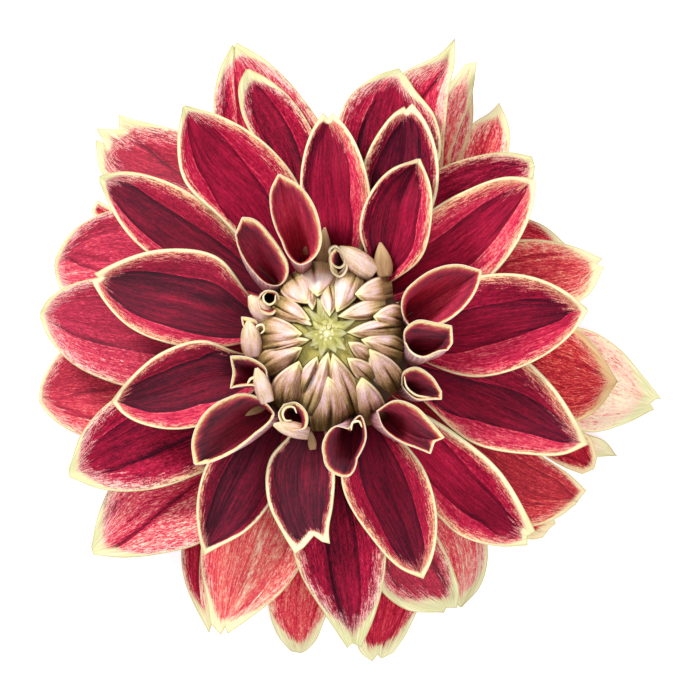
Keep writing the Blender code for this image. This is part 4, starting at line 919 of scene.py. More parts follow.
def round_end(rim, outer=False):
    """Shifts in plan that turn a pointed end of a rolled petal's rim into a round one."""
    base, end = rim[0], rim[len(rim) // 2]
    if outer:
        base, end = end, base
    forward = unit(end - base)
    side = forward[[1, 0]] * (1, -1)
    along = (rim - base) @ forward
    across = (rim - base) @ side
    reach = ROUND_END * along.max()
    shifts = np.zeros(rim.shape)
    for half in (slice(0, len(rim) // 2), slice(len(rim) // 2 + 1, len(rim))):
        order = np.argsort(along[half])
        full = np.interp(reach, along[half][order], across[half][order])
        turn = np.clip(along[half] / reach, 0, 1)
        near = along[half] < reach
        wanted_along = np.where(near, reach * (1 - np.cos(turn * math.pi / 2)), along[half])
        wanted_across = np.where(near, full * np.sin(turn * math.pi / 2), across[half])
        shifts[half] = ((wanted_along - along[half])[:, None] * forward
                        + (wanted_across - across[half])[:, None] * side)
    return shifts


def horn_grid(horn, seed):
    """A fine rolled petal with a lip that turns outward, and its painted values."""
    floor, lit, left_lip, right_lip, margins, flecks, is_round = HORN_LOOKS[horn.name]
    t = np.linspace(0, 1, HORN_ROWS)
    u = 1 - (1 - t)**1.7
    v = np.linspace(-1, 1, HORN_COLUMNS + 1)
    surface = horn_surface(horn, u, v)
    if is_round:
        surface[..., :2] += u[:, None, None]**2 * round_end(surface[-1, :, :2])[None]
    if horn.name in ROUND_OUTSIDE:
        surface[..., :2] += u[:, None, None]**2 * round_end(surface[-1, :, :2], True)[None]
    lip = left_lip + (right_lip - left_lip) * step_up(-0.25, 0.25, v)
    lip = lip + (left_lip - lip) * 0.5 * step_up(0.8, 1.0, v)
    lip = lip + (right_lip - lip) * 0.5 * step_up(-0.8, -1.0, v)
    steps = np.linalg.norm(np.diff(surface, axis=0), axis=2)
    edge = np.vstack([np.cumsum(steps[::-1], axis=0)[::-1], 0 * v[None]])
    rim = surface[-1, :, :2]
    middle = (rim + rim[::-1]) / 2
    to_middle = middle - rim
    half = np.linalg.norm(to_middle, axis=1)
    inward = unit(to_middle) * np.minimum(lip, 0.6 * half)[:, None]
    end_pull = (2 * np.abs(np.abs(v) - 0.5))**5
    inward = inward + unit(rim.mean(axis=0) - middle) * (0.8 * lip * end_pull)[:, None]
    surface[..., :2] += step_up(0, 2.0 * lip, edge)[..., None] * inward
    surface[..., 2] += 0.35 * lip * np.exp(-(edge / (0.9 * lip))**2)
    rim = surface[-1]
    # Painted light and shade: the lip band lighter, more so where it faces LIT_FROM, the wall a
    # little lighter facing it and darker facing away, painted shade in a band just below the lip, and
    # painted light that rises with depth against the real shade deep inside.
    facing = unit(to_middle) @ unit(LIT_FROM)
    band = np.exp(-(edge / (1.5 * lip + 0.5))**2)
    tone = floor + 0.7 * (lit - floor) * band * (0.65 + 0.35 * facing) + 0.05 * facing
    tone = tone - 0.13 * np.exp(-((edge - 1.6) / 1.1)**2)
    tone = tone + DEEP_PAINTED_LIGHT * np.clip(edge - 3, 0, 8)
    round_rim = np.concatenate([[0], np.cumsum(np.linalg.norm(np.diff(rim, axis=0), axis=1))])
    forward = unit(rim[len(v) // 2, :2] - rim[0, :2])
    across = (surface[..., :2] - rim[0, :2]) @ (forward[[1, 0]] * (1, -1))
    along = (surface[..., :2] - rim[0, :2]) @ forward
    left = step_up(0.15, -0.15, v)[None] + 0 * edge
    values = {
        "tone": tone, "edge": edge, "warm": np.full(edge.shape, ROLLED_WARMTH),
        "margin": ROLLED_MARGIN * (margins[1] + (margins[0] - margins[1]) * left),
        "flecks": flecks[1] + (flecks[0] - flecks[1]) * left,
        "left_fold": 0 * edge + NO_FOLD, "right_fold": 0 * edge + NO_FOLD,
        "left_gain": 0 * edge, "right_gain": 0 * edge, "gold": 0 * edge + 1, "tan": 0 * edge,
        "contrast": 0 * edge, "bloom": 0 * edge + ROLLED_PAINTED_SHEEN,
        "grain": np.stack([across, along, np.full(edge.shape, seed * 5.1)], axis=-1),
        "grain of the back": np.stack([round_rim[None] + 0 * edge, edge,
                                       np.full(edge.shape, seed * 5.1)], axis=-1),
    }
    tone -= 0.08 * step_up(0.35, 0.9, along / along.max())
    values = {name: value[:, :-1] for name, value in values.items()}
    thickness = BLADE * (0.5 + 0.5 * step_up(0, 0.8, edge))
    return two_sided(surface[:, :-1], thickness[:, :-1], values, closed=True)


# ---- materials -----------------------------------------------------------------------------------
class Nodes:
    """Short calls for the nodes of one material."""

    def __init__(self, name, roughness=0.5, specular=0.25, sheen=0.0):
        self.material = bpy.data.materials.new(name)
        self.material.use_nodes = True
        self.tree = self.material.node_tree
        self.shader = self.tree.nodes["Principled BSDF"]
        self.shader.inputs["Roughness"].default_value = roughness
        self.shader.inputs["Specular IOR Level"].default_value = specular
        self.shader.inputs["Sheen Weight"].default_value = sheen

    def new(self, kind, **settings):
        node = self.tree.nodes.new(kind)
        for name, value in settings.items():
            setattr(node, name, value)
        return node

    def put(self, socket, value):
        if isinstance(value, bpy.types.NodeSocket):
            self.tree.links.new(value, socket)
        else:
            socket.default_value = value

    def value(self, name):
        return self.new("ShaderNodeAttribute", attribute_name=name).outputs["Fac"]

    def vector(self, name):
        return self.new("ShaderNodeAttribute", attribute_name=name).outputs["Vector"]

    def noise(self, vector, stretch, detail=3.0, roughness=0.6):
        mapping = self.new("ShaderNodeMapping")
        self.put(mapping.inputs["Vector"], vector)
        self.put(mapping.inputs["Scale"], stretch)
        noise = self.new("ShaderNodeTexNoise")
        self.put(noise.inputs["Vector"], mapping.outputs["Vector"])
        self.put(noise.inputs["Scale"], 1.0)
        self.put(noise.inputs["Detail"], detail)
        self.put(noise.inputs["Roughness"], roughness)
        return noise.outputs["Fac"]

    def math(self, operation, a, b=0.0, clamp=False):
        node = self.new("ShaderNodeMath", operation=operation, use_clamp=clamp)
        self.put(node.inputs[0], a)
        self.put(node.inputs[1], b)
        return node.outputs[0]

    def add(self, a, b, clamp=False):
        return self.math("ADD", a, b, clamp)

    def times(self, a, b, clamp=False):
        return self.math("MULTIPLY", a, b, clamp)

    def scaled(self, value, low, high):
        """The value's spread about 0.5, as an offset from low to high about their middle."""
        node = self.new("ShaderNodeMapRange", clamp=False)
        self.put(node.inputs["Value"], value)
        self.put(node.inputs["From Min"], 0.25)
        self.put(node.inputs["From Max"], 0.75)
        self.put(node.inputs["To Min"], low)
        self.put(node.inputs["To Max"], high)
        return node.outputs["Result"]

    def step(self, value, low, high):
        """Smooth step from 0 at low to 1 at high, also where high is the smaller."""
        node = self.new("ShaderNodeMapRange", interpolation_type="SMOOTHSTEP")
        self.put(node.inputs["Value"], value)
        self.put(node.inputs["From Min"], low)
        self.put(node.inputs["From Max"], high)
        return node.outputs["Result"]

    def ramp(self, value, stops):
        node = self.new("ShaderNodeValToRGB")
        self.put(node.inputs["Fac"], value)
        elements = node.color_ramp.elements
        while len(elements) < len(stops):
            elements.new(1.0)
        for element, (place, colour) in zip(elements, stops):
            element.position = place
            element.color = (*colour, 1.0)
        return node.outputs["Color"]

    def mix(self, share, a, b, kind="MIX"):
        node = self.new("ShaderNodeMix", data_type="RGBA", blend_type=kind)
        self.put(node.inputs["Factor"], share)
        for socket, value in ((node.inputs[6], a), (node.inputs[7], b)):
            self.put(socket, (*value, 1.0) if isinstance(value, tuple) else value)
        return node.outputs[2]

    def bump(self, height, strength, distance):
        node = self.new("ShaderNodeBump")
        self.put(node.inputs["Height"], height)
        self.put(node.inputs["Strength"], strength)
        self.put(node.inputs["Distance"], distance)
        self.put(self.shader.inputs["Normal"], node.outputs["Normal"])

    def colour(self, value):
        self.put(self.shader.inputs["Base Color"], value)
        return self.material


CREAM = (1.0, 0.94, 0.60)
GOLD_CREAM = (1.0, 0.88, 0.46)
SHEEN_PINK = (0.70, 0.50, 0.55)
GREEN_CREAM = (0.64, 0.63, 0.28)
PALE_GREEN = (0.98, 0.96, 0.68)
TAN = (0.72, 0.36, 0.13)
PALE_TAN = (0.95, 0.70, 0.38)
OLIVE = (0.52, 0.42, 0.16)
AMBER = (0.74, 0.30, 0.12)
EDGE_TONE = 0.54           # tone that dark petals rise to where the flecks begin
GOLD_FLECKS = [(0.0, (1.0, 0.84, 0.42)), (0.35, (0.95, 0.56, 0.32)), (0.7, (0.90, 0.36, 0.30)),
               (1.0, (0.80, 0.22, 0.26))]
ROLLED_FLECKS = [(0.0, (0.98, 0.70, 0.32)), (0.3, (0.86, 0.36, 0.19)), (0.6, (0.62, 0.065, 0.11)),
                 (1.0, (0.28, 0.010, 0.045))]
PINK_FLECKS = [(0.0, (0.90, 0.80, 0.58)), (0.35, (0.94, 0.64, 0.58)), (0.7, (0.92, 0.50, 0.50)),
               (1.0, (0.84, 0.30, 0.38))]
TONE_RANGE = 1.2
COOL_REDS = [(0.0, (0.020, 0.001, 0.007)), (0.17, (0.085, 0.004, 0.018)),
             (0.34, (0.26, 0.006, 0.032)), (0.50, (0.50, 0.012, 0.060)),
             (0.62, (0.74, 0.040, 0.110)), (0.74, (0.84, 0.17, 0.19)),
             (0.85, (0.93, 0.55, 0.45)), (0.95, (0.98, 0.90, 0.66))]
WARM_REDS = [(0.0, (0.022, 0.001, 0.005)), (0.17, (0.095, 0.004, 0.012)),
             (0.34, (0.30, 0.007, 0.018)), (0.50, (0.56, 0.018, 0.030)),
             (0.62, (0.78, 0.060, 0.060)), (0.74, (0.88, 0.20, 0.11)),
             (0.85, (0.95, 0.58, 0.36)), (0.95, (0.98, 0.92, 0.60))]


BACK_COLOURS = [(0.25, (0.95, 0.86, 0.74)), (0.45, (0.80, 0.58, 0.60)), (0.60, (0.62, 0.32, 0.36)),
                (0.85, (0.34, 0.14, 0.12))]


def petal_material(name, back, depth_shade, amber, dashes, softness, blend, gold_flecks, cream,
                   rim_line):
    """Streaked reds by the painted tone, a flecked change to the cream margin, a pale back."""
    nodes = Nodes(name, 0.6, 0.06)
    grain = nodes.vector("grain")
    contrast = nodes.value("contrast")
    streak = nodes.noise(grain, (2.6, 0.16, 1.0), 4.0, 0.68)
    fine = nodes.noise(grain, (3.4, 1.1, 1.0), 2.0, 0.6)
    broad = nodes.noise(grain, (0.5, 0.10, 1.0), 2.0, 0.5)
    vein = nodes.noise(grain, (1.1, 0.03, 1.0), 1.0, 0.5)
    speck = nodes.noise(grain, (7.0, 2.6, 1.0), 2.0, 0.7)
    mottle = nodes.noise(grain, (5.0, 0.9, 1.0), 3.0, 0.7)
    ragged = nodes.noise(grain, (1.2, 0.22, 1.0), 3.0, 0.6)
    dash = nodes.noise(grain, (4.0, 0.55, 1.0), 3.0, 0.65)

    # The tone: the painted one, changed beyond the folds by the wings' tones, which hold their
    # painted light and shade, darkened along the folds by painted shade with a thin painted highlight
    # just beyond them, and changed by the streaks.
    tone = nodes.value("tone")
    wings = 0.0
    for side in ("left", "right"):
        fold = nodes.value(side + "_fold")
        wing = nodes.step(fold, -0.04, 0.14)
        crease = nodes.times(nodes.step(fold, -1.1, -0.02), nodes.step(fold, 0.08, -0.02))
        line = nodes.times(wing, nodes.step(fold, 0.45, 0.14))
        tone = nodes.add(tone, nodes.times(wing, nodes.value(side + "_gain")))
        tone = nodes.math("SUBTRACT", tone, nodes.times(crease, 0.15))
        tone = nodes.add(tone, nodes.times(line, 0.08))
        wings = nodes.add(wing, wings)
    tone = nodes.add(tone, nodes.scaled(streak, -0.18, 0.18))
    tone = nodes.add(tone, nodes.scaled(broad, -0.05, 0.05))
    rough = nodes.add(nodes.times(wings, 0.9), 0.75)
    tone = nodes.add(tone, nodes.times(nodes.scaled(fine, -0.10, 0.10), rough))
    tone = nodes.add(tone, nodes.times(contrast, nodes.scaled(mottle, -0.17, 0.20)))
    specks = nodes.add(nodes.times(contrast, 0.5), 0.5, True)
    tone = nodes.add(tone, nodes.times(nodes.scaled(speck, -0.15, 0.15), specks))
    thin = nodes.step(nodes.math("ABSOLUTE", nodes.math("SUBTRACT", vein, 0.5)), 0.012, 0.0)
    tone = nodes.add(tone, nodes.times(thin, 0.06))

    # Dark petals get lighter and streakier where the flecks begin.
    edge = nodes.value("edge")
    reach = nodes.times(nodes.math("DIVIDE", edge, nodes.value("flecks")),
                        nodes.scaled(ragged, 0.60, 1.55), True)
    zone = nodes.step(reach, 1.05, 0.35)
    rise = nodes.math("MAXIMUM", nodes.math("SUBTRACT", EDGE_TONE, tone), 0.0)
    tone = nodes.add(tone, nodes.times(nodes.times(rise, zone), 0.6))
    tone = nodes.add(tone, nodes.times(zone, nodes.scaled(dash, -0.20, 0.24)))
    tone = nodes.math("DIVIDE", tone, TONE_RANGE, True)
    red = nodes.mix(nodes.value("warm"), nodes.ramp(tone, COOL_REDS), nodes.ramp(tone, WARM_REDS))

    # Depth within the margin: 0 at the petal's edge, 1 where the margin ends.
    depth = nodes.math("DIVIDE", edge, nodes.value("margin"))
    depth = nodes.add(depth, nodes.scaled(fine, -0.25, 0.25))
    ragged_edge = nodes.add(nodes.times(contrast, 0.9), 0.8)
    depth = nodes.add(depth, nodes.times(nodes.scaled(dash, -0.30, 0.30), ragged_edge))
    at_tip = nodes.step(nodes.value("margin"), 0.7, 2.2)
    depth = nodes.add(depth, nodes.times(at_tip, nodes.scaled(streak, 0.55, -0.55)))
    solid = nodes.step(depth, 1 + blend, 1 - blend)

    # Light flecks between the margin and the reds.
    level = nodes.add(nodes.times(reach, 0.34), 0.50)
    level = nodes.math("SUBTRACT", level, nodes.times(specks, 0.08))
    spots = nodes.add(nodes.scaled(dash, -0.45, 1.0), nodes.scaled(speck, -0.28, 0.73))
    spots = nodes.step(nodes.math("SUBTRACT", spots, level), -0.05, 0.08)
    fading = nodes.step(reach, 1.0, 0.7)
    soft = nodes.times(nodes.step(reach, 0.32 + softness, -0.2), softness)
    spots = nodes.add(nodes.times(spots, nodes.times(fading, dashes)), soft, True)
    gold = nodes.value("gold")
    light = nodes.mix(gold, nodes.ramp(reach, PINK_FLECKS), nodes.ramp(reach, gold_flecks))
    # The bloom value mixes a painted pale pinkish sheen over the reds.
    colour = nodes.mix(spots, nodes.mix(nodes.value("bloom"), red, SHEEN_PINK), light)

    # The margin's own colours, a thin outline, and the petal's back.
    pale = nodes.mix(nodes.step(streak, 0.42, 0.68), GREEN_CREAM, PALE_GREEN)
    tan = nodes.mix(nodes.step(streak, 0.38, 0.66), TAN, PALE_TAN)
    margin = nodes.mix(nodes.value("tan"), nodes.mix(gold, pale, cream), tan)
    inner_share = nodes.times(nodes.step(depth, 0.45, 1.25), gold)
    margin = nodes.mix(nodes.times(inner_share, amber), margin, AMBER)
    colour = nodes.mix(solid, colour, margin)
    outline = nodes.times(nodes.step(edge, 0.34, 0.04), rim_line)
    colour = nodes.mix(outline, colour, OLIVE)
    shade = nodes.add(nodes.add(streak, nodes.times(edge, depth_shade)), back - 0.5, True)
    colour = nodes.mix(nodes.value("reverse"), colour, nodes.ramp(shade, BACK_COLOURS))
    nodes.bump(streak, 0.35, 0.0004)
    return nodes.colour(colour)


def bud_material():
    """Pale lilac and cream folded buds with olive-brown shade in their creases."""
    nodes = Nodes("buds", 0.5, 0.2)
    grain = nodes.vector("grain")
    streak = nodes.noise(grain, (4.5, 0.35, 1.0), 4.0, 0.7)
    broad = nodes.noise(grain, (1.1, 0.35, 1.0), 2.0, 0.5)
    grit = nodes.noise(grain, (6.0, 2.4, 1.0), 2.0, 0.7)
    tone = nodes.add(nodes.value("tone"), nodes.scaled(streak, -0.15, 0.15))
    tone = nodes.add(tone, nodes.scaled(grit, -0.10, 0.10))
    tone = nodes.add(tone, nodes.scaled(broad, -0.10, 0.10), True)
    pale = nodes.ramp(tone, [(0.0, (0.022, 0.009, 0.005)), (0.25, (0.17, 0.080, 0.025)),
                             (0.5, (0.52, 0.31, 0.12)), (0.72, (0.88, 0.64, 0.40)),
                             (1.0, (1.0, 0.95, 0.82))])
    lilac = nodes.ramp(tone, [(0.0, (0.028, 0.010, 0.010)), (0.25, (0.20, 0.075, 0.055)),
                              (0.5, (0.54, 0.29, 0.28)), (0.72, (0.84, 0.56, 0.62)),
                              (1.0, (1.0, 0.92, 0.94))])
    share = nodes.times(nodes.value("pink"), nodes.scaled(broad, 0.0, 0.9), True)
    colour = nodes.mix(share, pale, lilac)
    yellow = nodes.ramp(tone, [(0.15, (0.14, 0.085, 0.01)), (0.8, (1.0, 0.94, 0.46))])
    colour = nodes.mix(nodes.value("yellow"), colour, yellow)
    nodes.bump(streak, 0.4, 0.0003)
    return nodes.colour(colour)


LEAF_GRAIN = (2.0, 0.3, 1.0)       # stretch of the veins: across, along, and between pieces


def green_material(name, dark, light, tip):
    """Veined green or tan plant tissue between two colours, with its own tip colour."""
    nodes = Nodes(name, 0.55, 0.2, 0.03)
    grain = nodes.vector("grain")
    streak = nodes.noise(grain, LEAF_GRAIN, 4.0, 0.6)
    fine = nodes.noise(grain, tuple(3 * k for k in LEAF_GRAIN), 2.0, 0.6)
    share = nodes.add(nodes.value("tone"), nodes.scaled(streak, -0.22, 0.22))
    share = nodes.add(share, nodes.scaled(fine, -0.1, 0.1), True)
    colour = nodes.mix(share, dark, light)
    colour = nodes.mix(nodes.value("yellow"), colour, tip)
    nodes.bump(streak, 0.4, 0.0003)
    return nodes.colour(colour)


PAPER_GLOW = 0.55


def floor_material():
    """Plain white paper that glows a little, so that it stays white."""
    nodes = Nodes("paper", 0.9, 0.1)
    noise = nodes.noise(nodes.new("ShaderNodeTexCoord").outputs["Object"], (40.0, 40.0, 40.0))
    nodes.put(nodes.shader.inputs["Emission Strength"], PAPER_GLOW)
    nodes.put(nodes.shader.inputs["Emission Color"], (1.0, 1.0, 1.0, 1.0))
    return nodes.colour(nodes.mix(noise, (0.93, 0.93, 0.93), (0.95, 0.95, 0.95)))


# ---- the centre ----------------------------------------------------------------------------------
DOME_MIDDLE = plan_mm((DOME_X, DOME_Y))


def dome_height(place):
    """Height in mm of the closed centre's dome over a place in mm."""
    reach = np.linalg.norm(place - DOME_MIDDLE, axis=-1) / DOME_RADIUS
    inside = DOME_FOOT + (DOME_TOP - DOME_FOOT) * np.sqrt(np.clip(1 - reach**2, 0, 1))
    outside = DOME_FOOT + 0.24 * (DOME_TOP - DOME_FOOT) - 25 * (reach - 0.97)
    return np.where(reach > 0.97, outside, inside)


BUD_ROWS, BUD_COLUMNS = 36, 41
BUD_WIDTH = 1.32           # a fine bud's width over the CAD model's
BUD_ARCH = 1.9             # height in mm of its back over its edges
BUD_THICKNESS = 0.3
CREASE_WIDTH = 0.10        # of the gap between its lobes, as a share of its half width


def bud_grid(tip, base, half_width, seed):
    """One closed bud, a pointed scale of two lobes with a crease that opens towards its base."""
    start, end = plan_mm(base), plan_mm(tip)
    side = unit(end - start)[[1, 0]] * (1, -1)
    u = np.linspace(0, 1, BUD_ROWS)
    v = np.linspace(-1, 1, BUD_COLUMNS)
    width = BUD_WIDTH * half_width * PLAN_STEP * smooth_through(
        (0, 0.3, 0.6, 0.82, 1), (0.85, 1.0, 0.80, 0.44, 0.02), u)
    lean = 0.12 * math.sin(seed * 1.7) * half_width * PLAN_STEP * np.sin(math.pi * u)
    middle = start + (end - start) * u[:, None] + side * lean[:, None]
    place = middle[:, None] + side * (v[None] * width[:, None])[..., None]
    level = dome_height(middle) - 0.6 + 2.0 * u
    arch = smooth_through((0, 0.25, 0.6, 0.85, 1), (0.6, 1, 0.9, 0.6, 0.2), u) * BUD_ARCH
    crease = 0.25 * math.sin(seed * 2.3) + 0.25 * (u - 0.4) * math.cos(seed * 1.3)
    depth = 0.3 + 1.1 * (0.5 + 0.5 * math.sin(seed * 4.1))
    off_crease = v[None] - crease[:, None]
    split = np.exp(-(off_crease / CREASE_WIDTH)**2) * step_up(0.75, 0.05, u)[:, None]
    fold = np.tanh(off_crease / 0.12) * 0.22 * step_up(1.0, 0.5, u)[:, None]
    ridge = 0.3 * math.sin(seed * 5.1) * (1 - u[:, None])
    roof = 1 - np.where(v[None] < ridge, (ridge - v[None]) / (1 + ridge),
                        (v[None] - ridge) / (1 - ridge))
    profile = (0.45 * (1 - v**4)[None] + 0.55 * roof) * arch[:, None]
    profile = profile * (1 + fold * math.cos(seed * 5.7))
    profile = profile - 0.35 * width[:, None] * v[None]**2
    height = level[:, None] + profile - depth * split
    surface = np.concatenate([place, height[..., None]], axis=-1)
    reach = (1 - np.abs(v))[None] * width[:, None]
    normals = surface_normals(surface)
    facing = normals[..., :2] @ unit(LIT_FROM)
    reach_out = (place - DOME_MIDDLE) / DOME_RADIUS
    # Painted light and shade: faces turned towards LIT_FROM lighter and those turned away darker; by
    # place on the dome, darker towards LIT_FROM and the left, lighter towards the top; lighter
    # towards the tip.
    tone = 0.65 + 0.28 * np.clip(facing, 0, 1) - 0.40 * np.clip(-facing, 0, 1)
    tone = tone - 0.17 * (reach_out @ unit(LIT_FROM)) + 0.20 * np.clip(reach_out[..., 1], 0, 1)
    tone = tone - 0.16 * np.clip(-reach_out[..., 0], 0, 1) + 0.16 * step_up(0.6, 1, u)[:, None]
    # Painted shade in the crease; darker towards the base; painted shade along the very edge, a
    # bright cream line inside it that is partly painted highlight, and a darker band farther in.
    tone = tone - 0.6 * split * depth - 0.36 * step_up(0.5, 0, u)[:, None]
    rim_line = np.exp(-((reach - 0.42) / 0.16)**2) * step_up(0.1, 0.5, u)[:, None]
    tone = tone - 0.70 * step_up(0.32, 0.06, reach) + 0.14 * rim_line
    tone = tone - 0.16 * np.exp(-((reach - 0.85) / 0.25)**2)
    yellow = 0.75 * step_up(0.72, 1, u)[:, None] + 0.5 * rim_line
    yellow = yellow + 0.5 * step_up(0.4, 0, u)[:, None]
    pink = step_up(0.15, 0.5, u)[:, None] * step_up(0.95, 0.6, u)[:, None] + 0 * reach
    pink = pink * (1.05 + 0.5 * np.clip(-reach_out[..., 1], 0, 1))
    values = {"tone": tone, "yellow": np.clip(yellow, 0, 1), "pink": pink,
              "grain": np.stack([v[None] * width.max() + 0 * reach,
                                 u[:, None] * np.linalg.norm(end - start) + 0 * reach,
                                 np.full(reach.shape, seed * 3.9)], axis=-1)}
    return two_sided(surface, np.full(reach.shape, BUD_THICKNESS), values)


CORD_ROWS, CORD_SIDES = 24, 12


def cord_grid(points, height, half_width, seed):
    """A rounded cord along plan points, the curled lip of a rolled petal."""
    u = np.linspace(0, 1, CORD_ROWS)
    middle = path(np.array(points, float), u)
    forward = unit(np.gradient(middle, axis=0))
    angle = 2 * math.pi * np.arange(CORD_SIDES) / CORD_SIDES
    radius = half_width * (0.25 + 0.75 * np.sqrt(np.clip(np.sin(math.pi * u), 0, 1)))
    plan = (middle[:, None] + (forward[:, [1, 0]] * (-1, 1))[:, None]
            * (radius[:, None] * np.cos(angle)[None])[..., None])
    level = height + radius[:, None] * np.sin(angle)[None]
    surface = np.concatenate([plan, level[..., None]], axis=-1)
    points = np.vstack([surface.reshape(-1, 3), surface[0].mean(axis=0), surface[-1].mean(axis=0)])
    count = len(points)
    # The tone is painted light: the top of each cord lighter, its underside darker.
    turn = np.append(np.tile(np.sin(angle), CORD_ROWS), (0, 0))
    grain = np.column_stack([points[:, 0], points[:, 1], np.full(count, seed * 1.9)])
    values = {"tone": 0.56 + 0.28 * turn, "yellow": np.full(count, 0.5),
              "pink": np.full(count, 0.6), "grain": grain}
    return points, tube_faces(CORD_ROWS, CORD_SIDES), values


def turned_grid(profile, centre, sides, tone, yellow, waves=(0, 0.0)):
    """A turned surface closed at both ends, with its painted values; waves gives how many waves
    run round it and their height as a share of the radius."""
    profile = np.array(profile, float)
    angle = 2 * math.pi * np.arange(sides) / sides
    count, size = waves
    radius = profile[:, :1] * (1 + size * np.cos(count * angle))[None]
    x = centre[0] + radius * np.cos(angle)
    y = centre[1] + radius * np.sin(angle)
    z = profile[:, 1:] + 0 * angle[None]
    surface = np.stack([x, y, z], axis=-1)
    points = np.vstack([surface.reshape(-1, 3), [(*centre, profile[0, 1])],
                        [(*centre, profile[-1, 1])]])
    round_mm = (angle[None] * radius).reshape(-1)
    grain = np.column_stack([np.append(round_mm, (0, 0)), points[:, 2], np.zeros(len(points))])
    values = {"tone": np.full(len(points), tone), "grain": grain,
              "yellow": np.full(len(points), yellow)}
    return points, tube_faces(len(profile), sides), values


def leaf_grid(root, tip, widths, arch, thickness, tone, yellow, seed, rows, columns, bend,
              crease):
    """A narrow leaf or scale from root to tip (x, y, z in mm), widths along it as half widths."""
    root, tip = np.array(root, float), np.array(tip, float)
    u = np.linspace(0, 1, rows)
    v = np.linspace(-1, 1, columns)
    side = unit((tip - root)[[1, 0]] * (1, -1))
    width = smooth_through(np.linspace(0, 1, len(widths)), widths, u)
    middle = root + (tip - root) * u[:, None]
    middle[:, 2] += bend * 4 * u * (1 - u)
    plan = middle[:, None, :2] + side * (v[None] * width[:, None])[..., None]
    height = middle[:, 2][:, None] + arch * (1 - v[None]**2) * width[:, None]
    height = height - crease * np.exp(-(v / 0.25)**2)[None] * width[:, None]
    surface = np.concatenate([plan, height[..., None]], axis=-1)
    length = np.linalg.norm(tip - root)
    grain = np.stack([v[None] * width.max() + 0 * height, u[:, None] * length + 0 * height,
                      np.full(height.shape, seed * 2.7)], axis=-1)
    shade = tone - 0.25 * np.abs(v)[None]**3 + 0 * height
    values = {"tone": shade, "yellow": yellow * step_up(0.4, 1, u)[:, None] + 0 * height,
              "grain": grain}
    return two_sided(surface, np.full(height.shape, thickness), values)


def dome_profile(reaches, level):
    """Radii and heights of the centre's dome at shares of its radius, from a level upwards."""
    return [(reach * DOME_RADIUS, level + (DOME_TOP - DOME_FOOT) * math.sqrt(1 - reach**2))
            for reach in reaches]


# ---- the bloom -------------------------------------------------------------------------------------
settle()
BACK_COUNT = 16            # how many of the outer petals, from the lowest, make the back layer

red_petals = petal_material("petal_reds", 0.55, 0.045, 0.45, 0.72, 0.38, 0.32, GOLD_FLECKS,
                            CREAM, 0.55)
rolled = petal_material("rolled_reds", 0.42, 0.085, 0.8, 0.20, 0.72, 0.45, ROLLED_FLECKS,
                        GOLD_CREAM, 0.12)
buds_look = bud_material()
shade_look = green_material("bud_shade", (0.030, 0.012, 0.008), (0.16, 0.10, 0.045),
                            (0.20, 0.16, 0.06))
bed_look = green_material("apex_bed", (0.62, 0.52, 0.12), (1.0, 0.92, 0.42), (0.7, 0.65, 0.3))
green_tip = green_material("green_tip", (0.24, 0.22, 0.03), (0.92, 0.84, 0.32), (1.0, 0.97, 0.74))
green_leaf = green_material("green_leaf", (0.05, 0.10, 0.02), (0.20, 0.30, 0.07),
                            (0.36, 0.40, 0.12))
chaff_look = green_material("chaff", (0.20, 0.10, 0.045), (0.66, 0.42, 0.21), (0.80, 0.56, 0.30))

layers = [("back_petals", OUTER_PETALS[:BACK_COUNT]), ("outer_petals", OUTER_PETALS[BACK_COUNT:]),
          ("inner_petals", INNER_PETALS + CUPPED_PETALS)]
seed = 0
for layer, members in layers:
    piece = Piece(layer, "ray_florets")
    for petal in members:
        seed += 1
        piece.add(*petal_grid(petal, seed))
    piece.build(red_petals)

piece = Piece("rolled_petals", "ray_florets")
for horn in HORNS:
    seed += 1
    piece.add(*horn_grid(horn, seed))
piece.build(rolled)

piece = Piece("receptacle", "ray_florets")
core = [(3.0, CORE_BOTTOM), (8.0, CORE_BOTTOM), (11.0, -0.4), (13.4, 1.4), (CORE_RADIUS, 3.0),
        (CORE_RADIUS, 6.0), (13.7, 8.6), (12.4, 10.8), (10.0, 12.5), (7.6, 13.9),
        (5.0, CORE_TOP)]
piece.add(*turned_grid(core, (0.0, 0.0), 48, 0.3, 0.0, (12, 0.012)))
piece.build(green_leaf)

CHAFF = [((385, 277), (380, 243), 1.75, 19.0, 20.0), ((307, 255), (307, 245), 0.75, 17.0, 17.5),
         ((266, 405), (246, 415), 0.8, 16.0, 16.4), ((322, 264), (325, 228), 1.5, 15.6, 18.0),
         ((313, 449), (311, 431), 0.8, 15.5, 16.0)]
piece = Piece("chaff_scales", "ray_florets")
for root, tip, half, low, high in CHAFF:
    seed += 1
    piece.add(*leaf_grid((*plan_mm(root), low), (*plan_mm(tip), high),
                         [half * k for k in (0.7, 1, 0.95, 0.6, 0.08)], 0.35, 0.25, 0.6, 0.6,
                         seed, 18, 13, 0.3, 0.25))
piece.build(chaff_look)

# The dome under the buds: its near-black brown is painted shade in the gaps between them.
piece = Piece("bud_dome", "central_florets")
dome = [(4.5, CORE_TOP + 0.5), (8.0, 14.0), (10.4, 13.0), (13.5, 11.5), (DOME_RADIUS - 0.4, 13.6),
        (DOME_RADIUS, 15.6), (DOME_RADIUS, 17.0)]
dome += dome_profile((0.97, 0.93, 0.85, 0.75, 0.65, 0.52, 0.4, 0.2), DOME_FOOT - 0.5)
piece.add(*turned_grid(dome, DOME_MIDDLE, 64, 0.35, 0.0))
piece.build(shade_look)

piece = Piece("apex_bed", "central_florets")
bed = [(4.0, DOME_TOP - 1.6)]
bed += dome_profile((0.62, 0.56, 0.45, 0.3, 0.1), DOME_FOOT - 0.1)
piece.add(*turned_grid(bed, DOME_MIDDLE, 48, 0.1, 0.0))
piece.build(bed_look)

